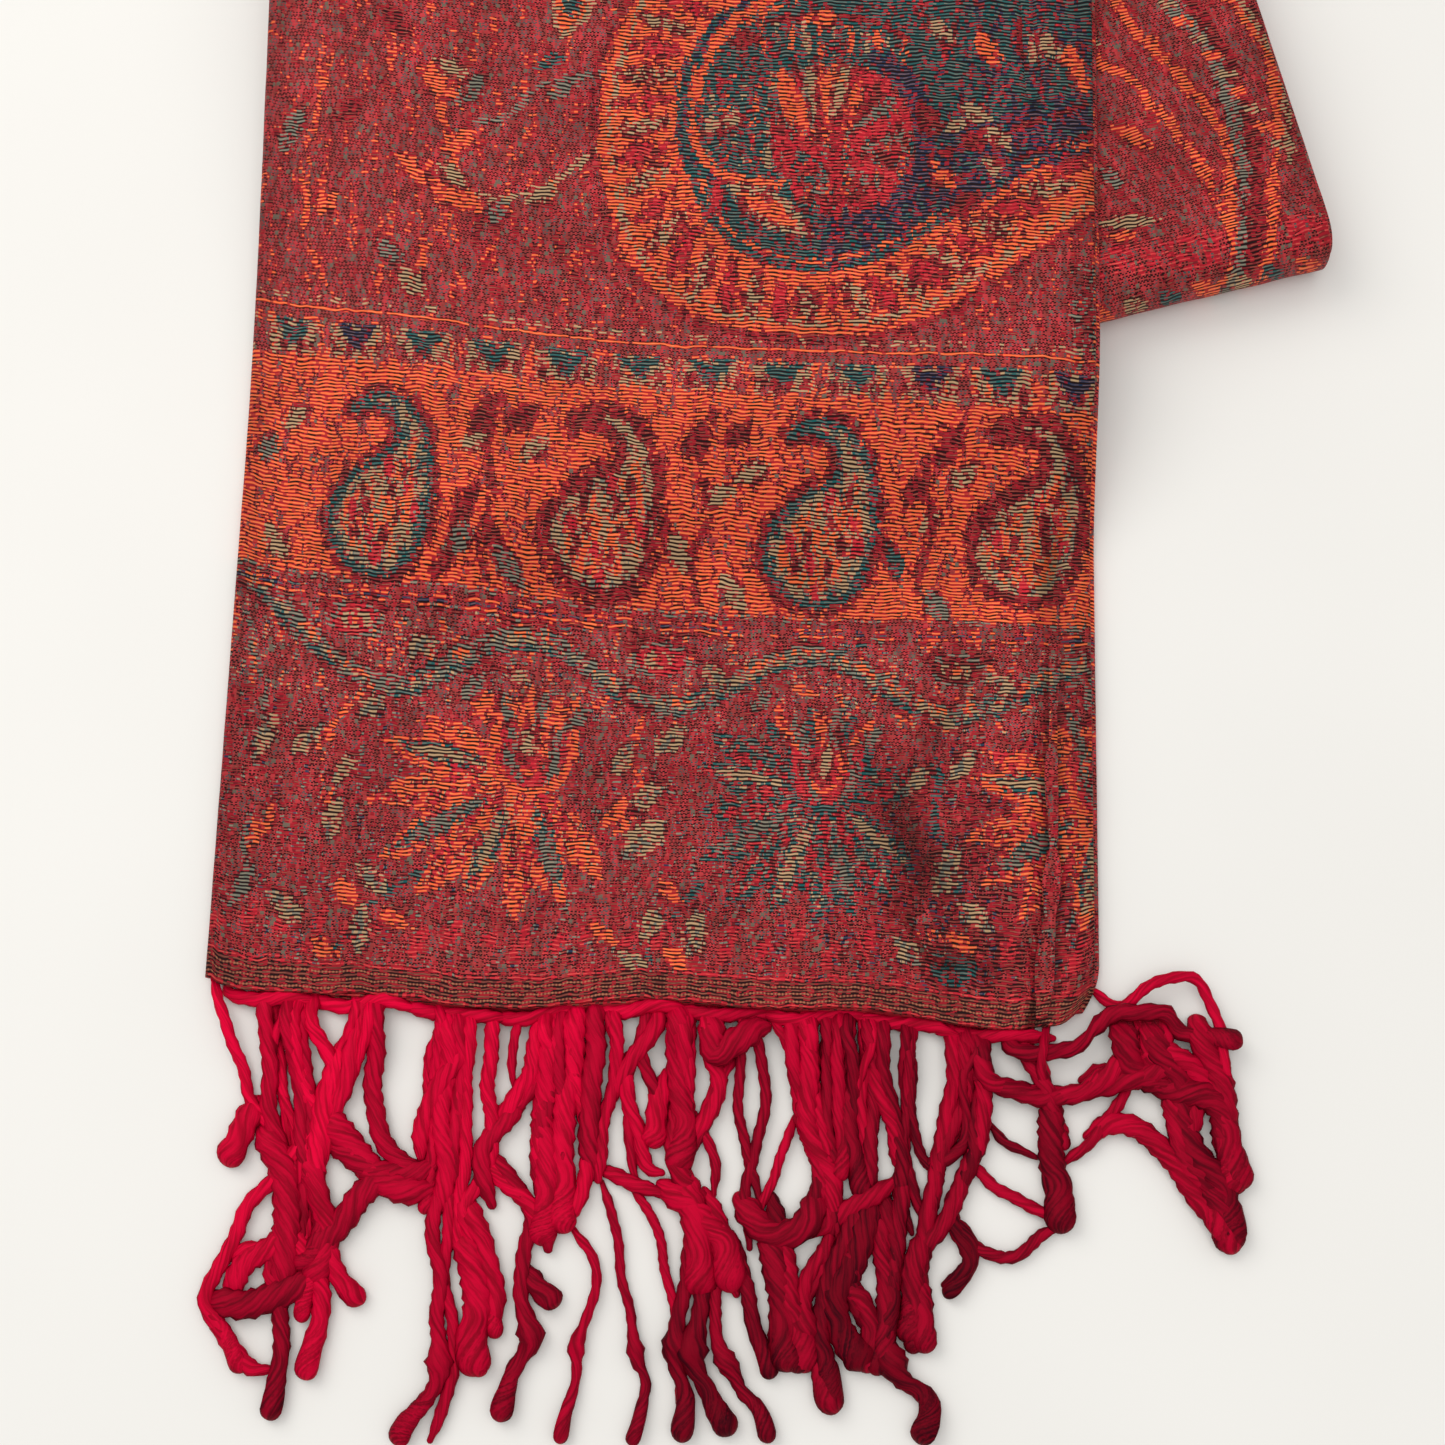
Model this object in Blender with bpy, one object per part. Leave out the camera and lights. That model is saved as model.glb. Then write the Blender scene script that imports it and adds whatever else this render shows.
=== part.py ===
"""A fringed shawl, folded in thirds along its length and laid down as a folded pack.

Metres, +Z up. The shawl lies on the plane z = 0 and the origin is the centre of the
pack's flat underside. The front stretch runs along Y, from the near hem at -Y to the
top fold at +Y. There it turns under itself and comes back as the second stretch, which
swings out to +X, rolls round the lower end of the pack and carries on inside it. The
far hem comes out on the ground beyond the top fold. Each hem has a fringe of strands.
"""

from math import cos, hypot, pi, radians, sin, sqrt, tan

import bpy
from mathutils import Vector

# Cut of the cloth, and how it is folded
SHAWL_WIDTH = 0.700
FOLDS_ACROSS = 3
BAND_WIDTH = SHAWL_WIDTH / FOLDS_ACROSS
HALF_BAND = BAND_WIDTH / 2
STRETCH_THICKNESS = 0.0042
SEAM_GAP = 0.0003
FRONT_LENGTH = 0.444
PACK_LENGTH = 0.273
SWING = radians(15.0)
FOLD_SLOPE = SWING / 2

# Heights of the stacked stretches
INNER_HEIGHT = 0.0165
SECOND_BASE = INNER_HEIGHT + SEAM_GAP
SECOND_TOP = SECOND_BASE + STRETCH_THICKNESS
FRONT_BASE = SECOND_TOP + SEAM_GAP

# Top fold: the front stretch lifts a little and turns round an open loop
TOP_LOOP_RADIUS = 0.0012
TOP_LOOP_HEIGHT = SECOND_TOP + TOP_LOOP_RADIUS
TOP_LIFT = TOP_LOOP_HEIGHT + TOP_LOOP_RADIUS - FRONT_BASE
TOP_LIFT_RUN = 0.045
TOP_TUCK = 0.006
TOP_SKEW_RUN = 0.150

# Lower fold: the second stretch rolls round the whole pack
ROLL_RADIUS = SECOND_TOP / 2
ROLL_INNER_RADIUS = ROLL_RADIUS - STRETCH_THICKNESS
ROLL_TUCK = 0.020
ROLL_CENTRE = PACK_LENGTH - ROLL_RADIUS

# Front stretch past the pack's lower end and left side: it eases down to the ground
EASE_LENGTH = 0.062
EASE_END_MARGIN = 0.005
EASE_SIDE_MARGIN = 0.012

# Far end beyond the top fold
FAR_HEM = 0.040
FAR_TUCK = 0.012
INNER_TOP_INSET = 0.006

# Hem lines
HEM_WAVE = 0.0016
HEM_SKEW = tan(radians(1.0))
HEM_FADE = 0.050
CORNER_ROUND = 0.008

# Fringe
STRIP_DEPTH = 0.0040
STRIP_FLOOR = 0.0004
STRAND_HALF_HEIGHT = 0.0010
STRAND_HALF_WIDTH = 0.0012
LOWER_ROW_HEIGHT = STRIP_FLOOR + STRAND_HALF_HEIGHT
UPPER_ROW_HEIGHT = LOWER_ROW_HEIGHT + 0.0025
STRAND_STUB = 0.005
STRAND_SECTIONS = 7
STRAND_HANDLE = 0.045
TIP_SCALE = 0.55
NEAR_STRANDS = 80
FAR_STRANDS = 52

# Where the section's columns stand, as shares of half the band's width
FRONT_COLUMNS = (-1.0, -0.92, -0.78, -0.58, -0.36, -0.12, 0.12, 0.36, 0.56, 0.72, 0.84, 0.92, 0.97, 1.0)
PLAIN_COLUMNS = (-1.0, -0.92, -0.72, -0.46, -0.16, 0.16, 0.46, 0.72, 0.92, 1.0)

# Side profiles, top to bottom: share of the thickness, reach beyond half the width
FOLDED_SIDE = ((0.92, 0.0009), (0.74, 0.0017), (0.50, 0.0020), (0.26, 0.0017), (0.08, 0.0009))
OPEN_SIDE = (
    (0.96, 0.0010), (0.83, 0.0014), (0.71, 0.0010), (0.66, 0.0002),
    (0.58, 0.0013), (0.33, 0.0024), (0.07, 0.0012),
)

# Soft creases on the front stretch: start across and along, end across and along,
# half width, height; distances along are from the near hem
CREASES = (
    (0.1085, -0.010, 0.1075, 0.130, 0.0060, -0.0008),
    (0.0990, 0.000, 0.0985, 0.105, 0.0080, 0.0006),
    (0.0800, 0.020, 0.0620, 0.062, 0.0150, -0.0010),
    (0.0520, 0.000, 0.0480, 0.030, 0.0130, 0.0009),
    (-0.0350, 0.000, -0.0280, 0.045, 0.0180, 0.0008),
    (-0.0850, 0.000, -0.0820, 0.050, 0.0150, -0.0006),
    (0.0750, 0.255, 0.0820, 0.300, 0.0140, 0.0009),
    (-0.0600, 0.330, 0.0200, 0.385, 0.0200, -0.0007),
)

# Stations along the front stretch, from the near hem to the top fold
FRONT_STATIONS = (
    0.0, 0.007, 0.020, 0.040, 0.065, 0.090, 0.112, 0.128, 0.142, 0.156, 0.170, 0.184, 0.198,
    0.214, 0.234, 0.258, 0.284, 0.314, 0.346, 0.374, 0.398, 0.416, 0.432, 0.444,
)
SECOND_STATIONS = (0.0, 0.030, 0.070, 0.120, 0.170, 0.215, 0.245, 0.2625)

# Side of the pack's inner layers, ground to top: height, inset from the second stretch's edge
INNER_LEVELS = (
    (0.0000, 0.0022), (0.0007, 0.0010), (0.0022, 0.0004), (0.0038, 0.0014), (0.0045, 0.0032),
    (0.0045, 0.0024), (0.0054, 0.0008), (0.0066, 0.0000), (0.0078, 0.0009), (0.0084, 0.0030),
    (0.0090, 0.0018), (0.0104, 0.0012), (0.0118, 0.0020), (0.0124, 0.0038), (0.0130, 0.0016),
    (0.0144, 0.0006), (0.0158, 0.0012), (0.0165, 0.0026),
)
INNER_LEDGE_ROW = 5
INNER_CORNER = 0.008
INNER_CORNER_STEPS = 3

# Locks of the near fringe: share across the hem, tip across, tip outwards,
# turn at the root and at the tip (degrees, + turns towards +X)
NEAR_LOCKS = (
    (0.00, -0.114, 0.109, -4.0, 6.0),
    (0.10, -0.101, 0.116, -5.0, 8.0),
    (0.20, -0.080, 0.110, 3.0, 10.0),
    (0.30, -0.059, 0.108, 8.0, -4.0),
    (0.42, -0.030, 0.122, 2.0, -8.0),
    (0.55, 0.004, 0.126, -6.0, 6.0),
    (0.68, 0.034, 0.120, -2.0, 8.0),
    (0.80, 0.066, 0.112, 6.0, 4.0),
    (0.88, 0.092, 0.094, 24.0, 2.0),
    (0.94, 0.118, 0.078, 62.0, -4.0),
    (1.00, 0.155, 0.061, 112.0, -4.0),
)
FAR_LOCKS = (
    (0.00, -0.134, 0.106, -20.0, 6.0),
    (0.25, -0.066, 0.118, -6.0, -10.0),
    (0.50, -0.006, 0.122, 6.0, -6.0),
    (0.75, 0.060, 0.120, -4.0, 8.0),
    (1.00, 0.124, 0.110, 10.0, -8.0),
)


def smooth(share):
    """Ease a share from 0 to 1 with flat ends."""
    share = min(max(share, 0.0), 1.0)
    return share * share * (3.0 - 2.0 * share)


def pack_local(along, across):
    """Place in the front stretch's frame of a point of the pack, from the top fold's middle."""
    x = along * sin(SWING) + across * cos(SWING)
    y = -along * cos(SWING) + across * sin(SWING)
    return x, y


ORIGIN_X, ORIGIN_Y = pack_local(PACK_LENGTH / 2, 0.0)


def pack_point(along, across, height):
    """World point: distance down the pack from the top fold, distance across, height."""
    x, y = pack_local(along, across)
    return Vector((x - ORIGIN_X, y - ORIGIN_Y, height))


def band_point(across, from_hem, height):
    """World point: distance across the front stretch, distance from the near hem, height."""
    return Vector((across - ORIGIN_X, from_hem - FRONT_LENGTH - ORIGIN_Y, height))


def band_to_pack(across, from_hem):
    """Distance down the pack and across it of a point of the front stretch."""
    y = from_hem - FRONT_LENGTH
    along = across * sin(SWING) - y * cos(SWING)
    return along, across * cos(SWING) + y * sin(SWING)


def hem_line(across):
    """Gentle wave of a hem along its width, lower to the right, with its corners rounded in."""
    share = across / HALF_BAND
    wave = HEM_WAVE * (sin(5.1 * share + 0.6) + 0.6 * sin(11.3 * share + 2.0)) - HEM_SKEW * across
    past = max(abs(across) - (HALF_BAND - CORNER_ROUND), 0.0)
    depth = min(past / CORNER_ROUND, 1.0)
    return wave + CORNER_ROUND * (1.0 - sqrt(1.0 - 0.75 * depth * depth))


def hem_chord(columns, across):
    """Hem line as the stretch's solid has it: straight from column to column."""
    share = min(max(across / HALF_BAND, -1.0), 1.0)
    for left, right in zip(columns, columns[1:]):
        if share <= right:
            blend = (share - left) / (right - left)
            return hem_line(left * HALF_BAND) * (1.0 - blend) + hem_line(right * HALF_BAND) * blend
    return hem_line(HALF_BAND)


def crease_height(across, from_hem):
    """Sum of the soft creases at a point of the front stretch."""
    total = 0.0
    for x0, y0, x1, y1, half_width, height in CREASES:
        dx, dy = x1 - x0, y1 - y0
        length = hypot(dx, dy)
        along = ((across - x0) * dx + (from_hem - y0) * dy) / length
        aside = ((across - x0) * dy - (from_hem - y0) * dx) / length
        beyond = max(-along, along - length, 0.0)
        total += height * (1.0 - smooth(abs(aside) / half_width)) * (1.0 - smooth(beyond / (2 * half_width)))
    return total


def front_rise(across, from_hem):
    """Height of the front stretch's underside: on the pack, then easing to the ground."""
    along, side = band_to_pack(across, from_hem)
    past_end = max(along - PACK_LENGTH - EASE_END_MARGIN, 0.0)
    past_side = max(-side - HALF_BAND - EASE_SIDE_MARGIN, 0.0)
    lift = TOP_LIFT * smooth(1.0 - (FRONT_LENGTH - from_hem) / TOP_LIFT_RUN)
    return FRONT_BASE * (1.0 - smooth(hypot(past_end, past_side) / EASE_LENGTH)) + lift


def section(place, columns):
    """One closed ring through the band: top, open side, underside, folded side."""
    spread = [HALF_BAND * share for share in columns]
    ring = [place(across, 1.0) for across in spread]
    ring += [place(HALF_BAND + reach, share) for share, reach in OPEN_SIDE]
    ring += [place(across, 0.0) for across in reversed(spread)]
    ring += [place(-HALF_BAND - reach, share) for share, reach in reversed(FOLDED_SIDE)]
    return ring


def cap_faces(first, columns):
    """Faces that close a section: strips between top and underside, and the two sides."""
    count = len(columns)
    under = first + count + len(OPEN_SIDE)
    end = under + count
    faces = []
    for i in range(count - 1):
        faces.append((first + i, first + i + 1, under + count - 2 - i, under + count - 1 - i))
    faces.append(tuple(range(first + count - 1, under + 1)))
    faces.append(tuple(range(under + count - 1, end + len(FOLDED_SIDE))) + (first,))
    return faces


def turned(faces):
    """The same faces, looking the other way."""
    return [tuple(reversed(face)) for face in faces]


def side_faces(rings):
    """Quads between each ring of points and the next."""
    size = len(rings[0])
    faces = []
    for k in range(len(rings) - 1):
        for i in range(size):
            j = (i + 1) % size
            faces.append((k * size + i, k * size + j, (k + 1) * size + j, (k + 1) * size + i))
    return faces


def loft(name, rings, columns, material, toward_hem=False):
    """Closed solid through the section rings, which run up the band or toward its hem."""
    last = (len(rings) - 1) * len(rings[0])
    faces = side_faces(rings) + turned(cap_faces(0, columns)) + cap_faces(last, columns)
    points = [point for ring in rings for point in ring]
    return add_object(name, points, turned(faces) if toward_hem else faces, material)


def add_object(name, points, faces, material):
    """Make a mesh object with one material, shaded smooth with crisp corners kept."""
    mesh = bpy.data.meshes.new(name)
    mesh.from_pydata(points, [], faces)
    mesh.materials.append(material)
    mesh.shade_smooth()
    mesh.set_sharp_from_angle(angle=radians(50.0))
    part = bpy.data.objects.new(name, mesh)
    bpy.context.collection.objects.link(part)
    return part


def make_material(name, colour, roughness):
    """Plain dyed-yarn material."""
    material = bpy.data.materials.new(name)
    material.use_nodes = True
    shader = material.node_tree.nodes["Principled BSDF"]
    shader.inputs["Base Color"].default_value = (*colour, 1.0)
    shader.inputs["Roughness"].default_value = roughness
    shader.inputs["Metallic"].default_value = 0.0
    return material


def build_front_stretch(material):
    """Near hem, ease up on to the pack, run to the top fold and turn under."""
    rings = []
    for station in FRONT_STATIONS:
        skew = tan(FOLD_SLOPE) * smooth(1.0 - (FRONT_LENGTH - station) / TOP_SKEW_RUN)
        fade = 1.0 - smooth(station / HEM_FADE)

        def place(across, share):
            from_hem = station + across * skew
            base = front_rise(across, from_hem)
            height = share * (STRETCH_THICKNESS + crease_height(across, from_hem))
            return band_point(across, from_hem + fade * hem_line(across), base + height)

        rings.append(section(place, FRONT_COLUMNS))
    turn_steps = 6
    for step in range(1, turn_steps + 1):
        turn = pi * step / turn_steps

        def place(across, share):
            radius = TOP_LOOP_RADIUS + share * STRETCH_THICKNESS
            out = radius * sin(turn)
            point = band_point(across, FRONT_LENGTH + across * tan(FOLD_SLOPE), TOP_LOOP_HEIGHT)
            return point + Vector((-out * sin(FOLD_SLOPE), out * cos(FOLD_SLOPE), radius * cos(turn)))

        rings.append(section(place, FRONT_COLUMNS))

    def place(across, share):
        along = TOP_TUCK / cos(FOLD_SLOPE) + across * tan(FOLD_SLOPE)
        return pack_point(along, across, SECOND_TOP - share * STRETCH_THICKNESS)

    rings.append(section(place, FRONT_COLUMNS))
    return loft("front_stretch", rings, FRONT_COLUMNS, material)


def build_second_stretch(material):
    """From under the top fold down the pack, round its lower end and back under it."""
    rings = []
    start = (TOP_TUCK + SEAM_GAP) / cos(FOLD_SLOPE)
    run = ROLL_CENTRE - start
    for station in SECOND_STATIONS:
        share_down = station / SECOND_STATIONS[-1]
        skew = tan(FOLD_SLOPE) * (1.0 - smooth(share_down * 1.6))

        def place(across, share):
            along = start + run * share_down + across * skew
            return pack_point(along, across, SECOND_BASE + share * STRETCH_THICKNESS)

        rings.append(section(place, PLAIN_COLUMNS))
    roll_steps = 9
    for step in range(1, roll_steps + 1):
        turn = pi * step / roll_steps

        def place(across, share):
            radius = ROLL_INNER_RADIUS + share * STRETCH_THICKNESS
            return pack_point(ROLL_CENTRE + radius * sin(turn), across, ROLL_RADIUS + radius * cos(turn))

        rings.append(section(place, PLAIN_COLUMNS))

    def place(across, share):
        return pack_point(ROLL_CENTRE - ROLL_TUCK, across, STRETCH_THICKNESS * (1.0 - share))

    rings.append(section(place, PLAIN_COLUMNS))
    return loft("second_stretch", rings, PLAIN_COLUMNS, material, toward_hem=True)


def build_inner_layers(material):
    """Hidden turns of the pack: one rounded solid, layered at its sides."""
    rings = []
    roll_room = ROLL_INNER_RADIUS - SEAM_GAP
    for row, (height, inset) in enumerate(INNER_LEVELS):
        on_ground = row < INNER_LEDGE_ROW
        if on_ground:
            top_inset = FAR_TUCK + SEAM_GAP
            lower_end = ROLL_CENTRE - ROLL_TUCK - SEAM_GAP
        else:
            top_inset = INNER_TOP_INSET + inset
            rise = min(abs(height - ROLL_RADIUS), roll_room)
            lower_end = ROLL_CENTRE + sqrt(roll_room**2 - rise**2) - inset
        rings.append(pack_outline(height, HALF_BAND - inset, top_inset, lower_end))
    size = len(rings[0])
    points = [point for ring in rings for point in ring]
    underside = tuple(reversed(range(size)))
    top = tuple(range(len(points) - size, len(points)))
    return add_object("inner_layers", points, side_faces(rings) + [underside, top], material)


def pack_outline(height, half_width, top_inset, lower_end):
    """Outline of the pack at one height, seen from above, with rounded corners."""
    corners = (
        (lower_end, -half_width, pi), (lower_end, half_width, 1.5 * pi),
        (0.0, half_width, 2.0 * pi), (0.0, -half_width, 0.5 * pi),
    )
    ring = []
    for index, (along, across, start) in enumerate(corners):
        toward_middle = -1.0 if across > 0 else 1.0
        centre_across = across + toward_middle * INNER_CORNER
        at_top = index >= 2
        for step in range(INNER_CORNER_STEPS):
            angle = start + 0.5 * pi * step / (INNER_CORNER_STEPS - 1)
            w = centre_across + INNER_CORNER * cos(angle)
            out = INNER_CORNER * (1.0 - abs(sin(angle)))
            if at_top:
                s = w * tan(FOLD_SLOPE) + top_inset + out
            else:
                s = along - out
            ring.append(pack_point(s, w, height))
    return ring


def build_far_stretch(material):
    """Short end on the ground beyond the top fold, with the far hem."""
    stations = 5
    rings = []
    for k in range(stations):
        share_out = k / (stations - 1)

        def place(across, share):
            inner = FAR_TUCK + across * tan(FOLD_SLOPE)
            outer = -FAR_HEM + hem_line(-across)
            along = inner + (outer - inner) * share_out
            return pack_point(along, across, STRETCH_THICKNESS * share)

        rings.append(section(place, PLAIN_COLUMNS))
    return loft("far_stretch", rings, PLAIN_COLUMNS, material)


def lock_at(locks, share):
    """Row of the lock table at a share across the hem, blended between rows."""
    for left, right in zip(locks, locks[1:]):
        if share <= right[0]:
            blend = (share - left[0]) / (right[0] - left[0])
            return [a + (b - a) * blend for a, b in zip(left[1:], right[1:])]
    return list(locks[-1][1:])


def strand_line(root_across, root_out, lock):
    """Points across and outwards along one strand, from its root to its tip."""
    tip_across, tip_out, root_turn, tip_turn = lock
    root_turn, tip_turn = radians(root_turn), radians(tip_turn)
    start = Vector((root_across, root_out + STRAND_STUB))
    tip = Vector((tip_across, tip_out))
    leave = start + STRAND_HANDLE * Vector((sin(root_turn), cos(root_turn)))
    arrive = tip - STRAND_HANDLE * Vector((sin(tip_turn), cos(tip_turn)))
    line = []
    for k in range(STRAND_SECTIONS):
        t = k / (STRAND_SECTIONS - 1)
        u = 1.0 - t
        line.append(u**3 * start + 3 * u * u * t * leave + 3 * u * t * t * arrive + t**3 * tip)
    return line


def strip_edges(strands):
    """Places across the hem where the strip's cells end, two for each strand's root."""
    pitch = BAND_WIDTH / strands
    edges = [-HALF_BAND]
    for k in range(strands):
        middle = -HALF_BAND + pitch * (k + 0.5)
        edges += [middle - STRAND_HALF_WIDTH, middle + STRAND_HALF_WIDTH]
    return edges + [HALF_BAND]


def build_fringe(name, locks, strands, place, material):
    """Narrow strip along a hem, with strands drawn out of its outer face in two rows."""
    edges = strip_edges(strands)
    width = len(edges)
    points = []
    for out in (SEAM_GAP, SEAM_GAP + STRIP_DEPTH):
        for level in range(3):
            height = STRIP_FLOOR + 2 * STRAND_HALF_HEIGHT * level
            points += [place(across, out, height) for across in edges]

    def corner(outer, level, column):
        return (outer * 3 + level) * width + column

    def cell(outer, level, column):
        return [
            corner(outer, level, column), corner(outer, level, column + 1),
            corner(outer, level + 1, column + 1), corner(outer, level + 1, column),
        ]

    faces = []
    for column in range(width - 1):
        for level in (0, 2):
            inner, outer = corner(0, level, column), corner(1, level, column)
            flat = [inner, inner + 1, outer + 1, outer]
            faces.append(flat if level == 0 else flat[::-1])
        for level in (0, 1):
            faces.append(cell(0, level, column)[::-1])
            has_strand = column % 2 == 1 and (column // 2) % 2 == level
            if not has_strand:
                faces.append(cell(1, level, column))
    for level in (0, 1):
        for column in (0, width - 1):
            end = [corner(1, level, column), corner(0, level, column)]
            end += [corner(0, level + 1, column), corner(1, level + 1, column)]
            faces.append(end[::-1] if column == 0 else end)
    for k in range(strands):
        level = k % 2
        column = 1 + 2 * k
        ring = cell(1, level, column)
        middle = (edges[column] + edges[column + 1]) / 2
        height = UPPER_ROW_HEIGHT if level else LOWER_ROW_HEIGHT
        line = strand_line(middle, SEAM_GAP + STRIP_DEPTH, lock_at(locks, k / (strands - 1)))
        add_strand(points, faces, ring, line, height, place)
    return add_object(name, points, faces, material)


def add_strand(points, faces, ring, line, height, place):
    """Draw a four-sided strand along a line, starting from the ring of its root."""
    for index, here in enumerate(line):
        ahead = line[min(index + 1, len(line) - 1)]
        heading = (ahead - line[index - 1]).normalized() if index else Vector((0.0, 1.0))
        scale = TIP_SCALE if index == len(line) - 1 else 1.0
        side = Vector((heading.y, -heading.x)) * STRAND_HALF_WIDTH * scale
        rise = STRAND_HALF_HEIGHT * scale
        new_ring = list(range(len(points), len(points) + 4))
        for sideways, upwards in ((-1, -1), (1, -1), (1, 1), (-1, 1)):
            spot = here + sideways * side
            points.append(place(spot.x, spot.y, height + upwards * rise))
        for i in range(4):
            j = (i + 1) % 4
            faces.append((ring[i], ring[j], new_ring[j], new_ring[i]))
        ring = new_ring
    faces.append(tuple(ring))


def place_near(across, out, height):
    """World point of the near fringe, across the hem and outwards from it."""
    fade = 1.0 - smooth((out - STRIP_DEPTH) / HEM_FADE)
    return band_point(across, fade * hem_chord(FRONT_COLUMNS, across) - out, height)


def place_far(across, out, height):
    """World point of the far fringe, across the far hem and outwards from it."""
    fade = 1.0 - smooth((out - STRIP_DEPTH) / HEM_FADE)
    return pack_point(-FAR_HEM + fade * hem_chord(PLAIN_COLUMNS, across) - out, -across, height)


def main():
    for old in list(bpy.data.objects):
        bpy.data.objects.remove(old, do_unlink=True)
    woven = make_material("woven_cloth", (0.30, 0.045, 0.035), 0.85)
    inner = make_material("woven_cloth_inner", (0.20, 0.030, 0.028), 0.88)
    yarn = make_material("fringe_yarn", (0.50, 0.006, 0.030), 0.60)
    build_front_stretch(woven)
    build_second_stretch(woven)
    build_inner_layers(inner)
    build_far_stretch(woven)
    build_fringe("near_fringe", NEAR_LOCKS, NEAR_STRANDS, place_near, yarn)
    build_fringe("far_fringe", FAR_LOCKS, FAR_STRANDS, place_far, yarn)


main()
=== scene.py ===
"""A fringed paisley shawl, folded in thirds and laid down: its weave, motifs, folds and fringe.

Metres, +Z up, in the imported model's frame. The band is the front stretch: "across" runs from
its middle to +X and "from hem" runs from its near hem to +Y. The pack is the rest, which swings
out to +X: "along" runs down it from the top fold. Motifs are placed in centimetres of cloth:
u from the band's left edge, v from the hem.
"""

from functools import partial
from itertools import accumulate
from math import cos, pi, radians, sin, sqrt, tan

import bpy
import numpy as np
from mathutils import Matrix, Vector


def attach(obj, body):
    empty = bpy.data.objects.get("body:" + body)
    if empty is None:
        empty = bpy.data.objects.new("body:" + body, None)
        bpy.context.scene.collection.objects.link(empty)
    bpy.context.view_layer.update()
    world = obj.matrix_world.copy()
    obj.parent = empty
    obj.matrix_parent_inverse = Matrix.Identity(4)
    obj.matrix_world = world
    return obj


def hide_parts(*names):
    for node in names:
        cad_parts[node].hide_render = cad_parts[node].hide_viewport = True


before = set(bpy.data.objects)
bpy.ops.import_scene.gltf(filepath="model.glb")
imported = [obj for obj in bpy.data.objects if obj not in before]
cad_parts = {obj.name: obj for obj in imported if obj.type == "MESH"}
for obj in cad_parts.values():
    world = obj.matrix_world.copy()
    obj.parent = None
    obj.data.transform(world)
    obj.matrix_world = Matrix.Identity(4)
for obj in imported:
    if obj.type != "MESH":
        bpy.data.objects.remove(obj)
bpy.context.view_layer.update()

# Cut and folds, as in the solids
BAND_WIDTH = 0.7 / 3
HALF_BAND = BAND_WIDTH / 2
STRETCH_THICKNESS = 0.0042
SEAM_GAP = 0.0003
FRONT_LENGTH = 0.444
PACK_LENGTH = 0.273
SWING = radians(15.0)
FOLD_SLOPE = SWING / 2
INNER_HEIGHT = 0.0165
SECOND_BASE = INNER_HEIGHT + SEAM_GAP
SECOND_TOP = SECOND_BASE + STRETCH_THICKNESS
FRONT_BASE = SECOND_TOP + SEAM_GAP
TOP_LOOP_RADIUS = 0.0012
TOP_LOOP_HEIGHT = SECOND_TOP + TOP_LOOP_RADIUS
TOP_LIFT = TOP_LOOP_HEIGHT + TOP_LOOP_RADIUS - FRONT_BASE
TOP_LIFT_RUN = 0.045
TOP_TUCK = 0.006
ROLL_RADIUS = SECOND_TOP / 2
ROLL_INNER_RADIUS = ROLL_RADIUS - STRETCH_THICKNESS
ROLL_TUCK = 0.02
ROLL_CENTRE = PACK_LENGTH - ROLL_RADIUS
TURN_LENGTH = pi * (TOP_LOOP_RADIUS + STRETCH_THICKNESS / 2)
ROLL_LENGTH = pi * (ROLL_RADIUS - STRETCH_THICKNESS / 2)
SECOND_START = (TOP_TUCK + SEAM_GAP) / cos(FOLD_SLOPE)
SECOND_RUN = ROLL_CENTRE - SECOND_START
EASE_LENGTH = 0.062
EASE_END_MARGIN = 0.005
EASE_SIDE_MARGIN = 0.012
FAR_HEM = 0.04
FAR_TUCK = 0.012
FAR_LENGTH = FAR_HEM + FAR_TUCK
INNER_TOP_INSET = 0.006
HEM_WAVE = 0.0016
HEM_SKEW = tan(radians(1.0))
HEM_FADE = 0.05
CORNER_ROUND = 0.005
LEFT_CORNER_ROUND = 0.003
CORNER_PULL = 0.0045
CORNER_PULL_RUN = 0.014
# Where the lower layers of the near hem peep out below the top one
PEEPS = (-0.082, -0.039, 0.004, 0.046)
PEEP_REACH = 0.0032
PEEP_WIDTH = 0.01
PEEP_RUN = 0.02
FOLD_CALM = 0.02
# Ripples: seed, number of waves, shortest and longest wave, height
HEM_WOBBLE = (5, 14, 0.006, 0.03, 0.0003)
FRONT_RELIEF = (11, 20, 0.007, 0.034, 0.00026)
SECOND_RELIEF = (23, 18, 0.008, 0.04, 0.0003)
FAR_RELIEF = (31, 14, 0.008, 0.034, 0.00028)

# Soft creases of the front stretch, as in the solids, in millimetres: start across and from the hem,
# end across and from the hem, half width, height
CREASES = (
    (108.5, -10, 107.5, 130, 6, -0.8), (99, 0, 98.5, 105, 8, 0.6), (80, 20, 62, 62, 15, -1),
    (52, 0, 48, 30, 13, 0.9), (-35, 0, -28, 45, 18, 0.8), (-85, 0, -82, 50, 15, -0.6),
    (75, 255, 82, 300, 14, 0.9), (-60, 330, 20, 385, 20, -0.7),
)
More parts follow.
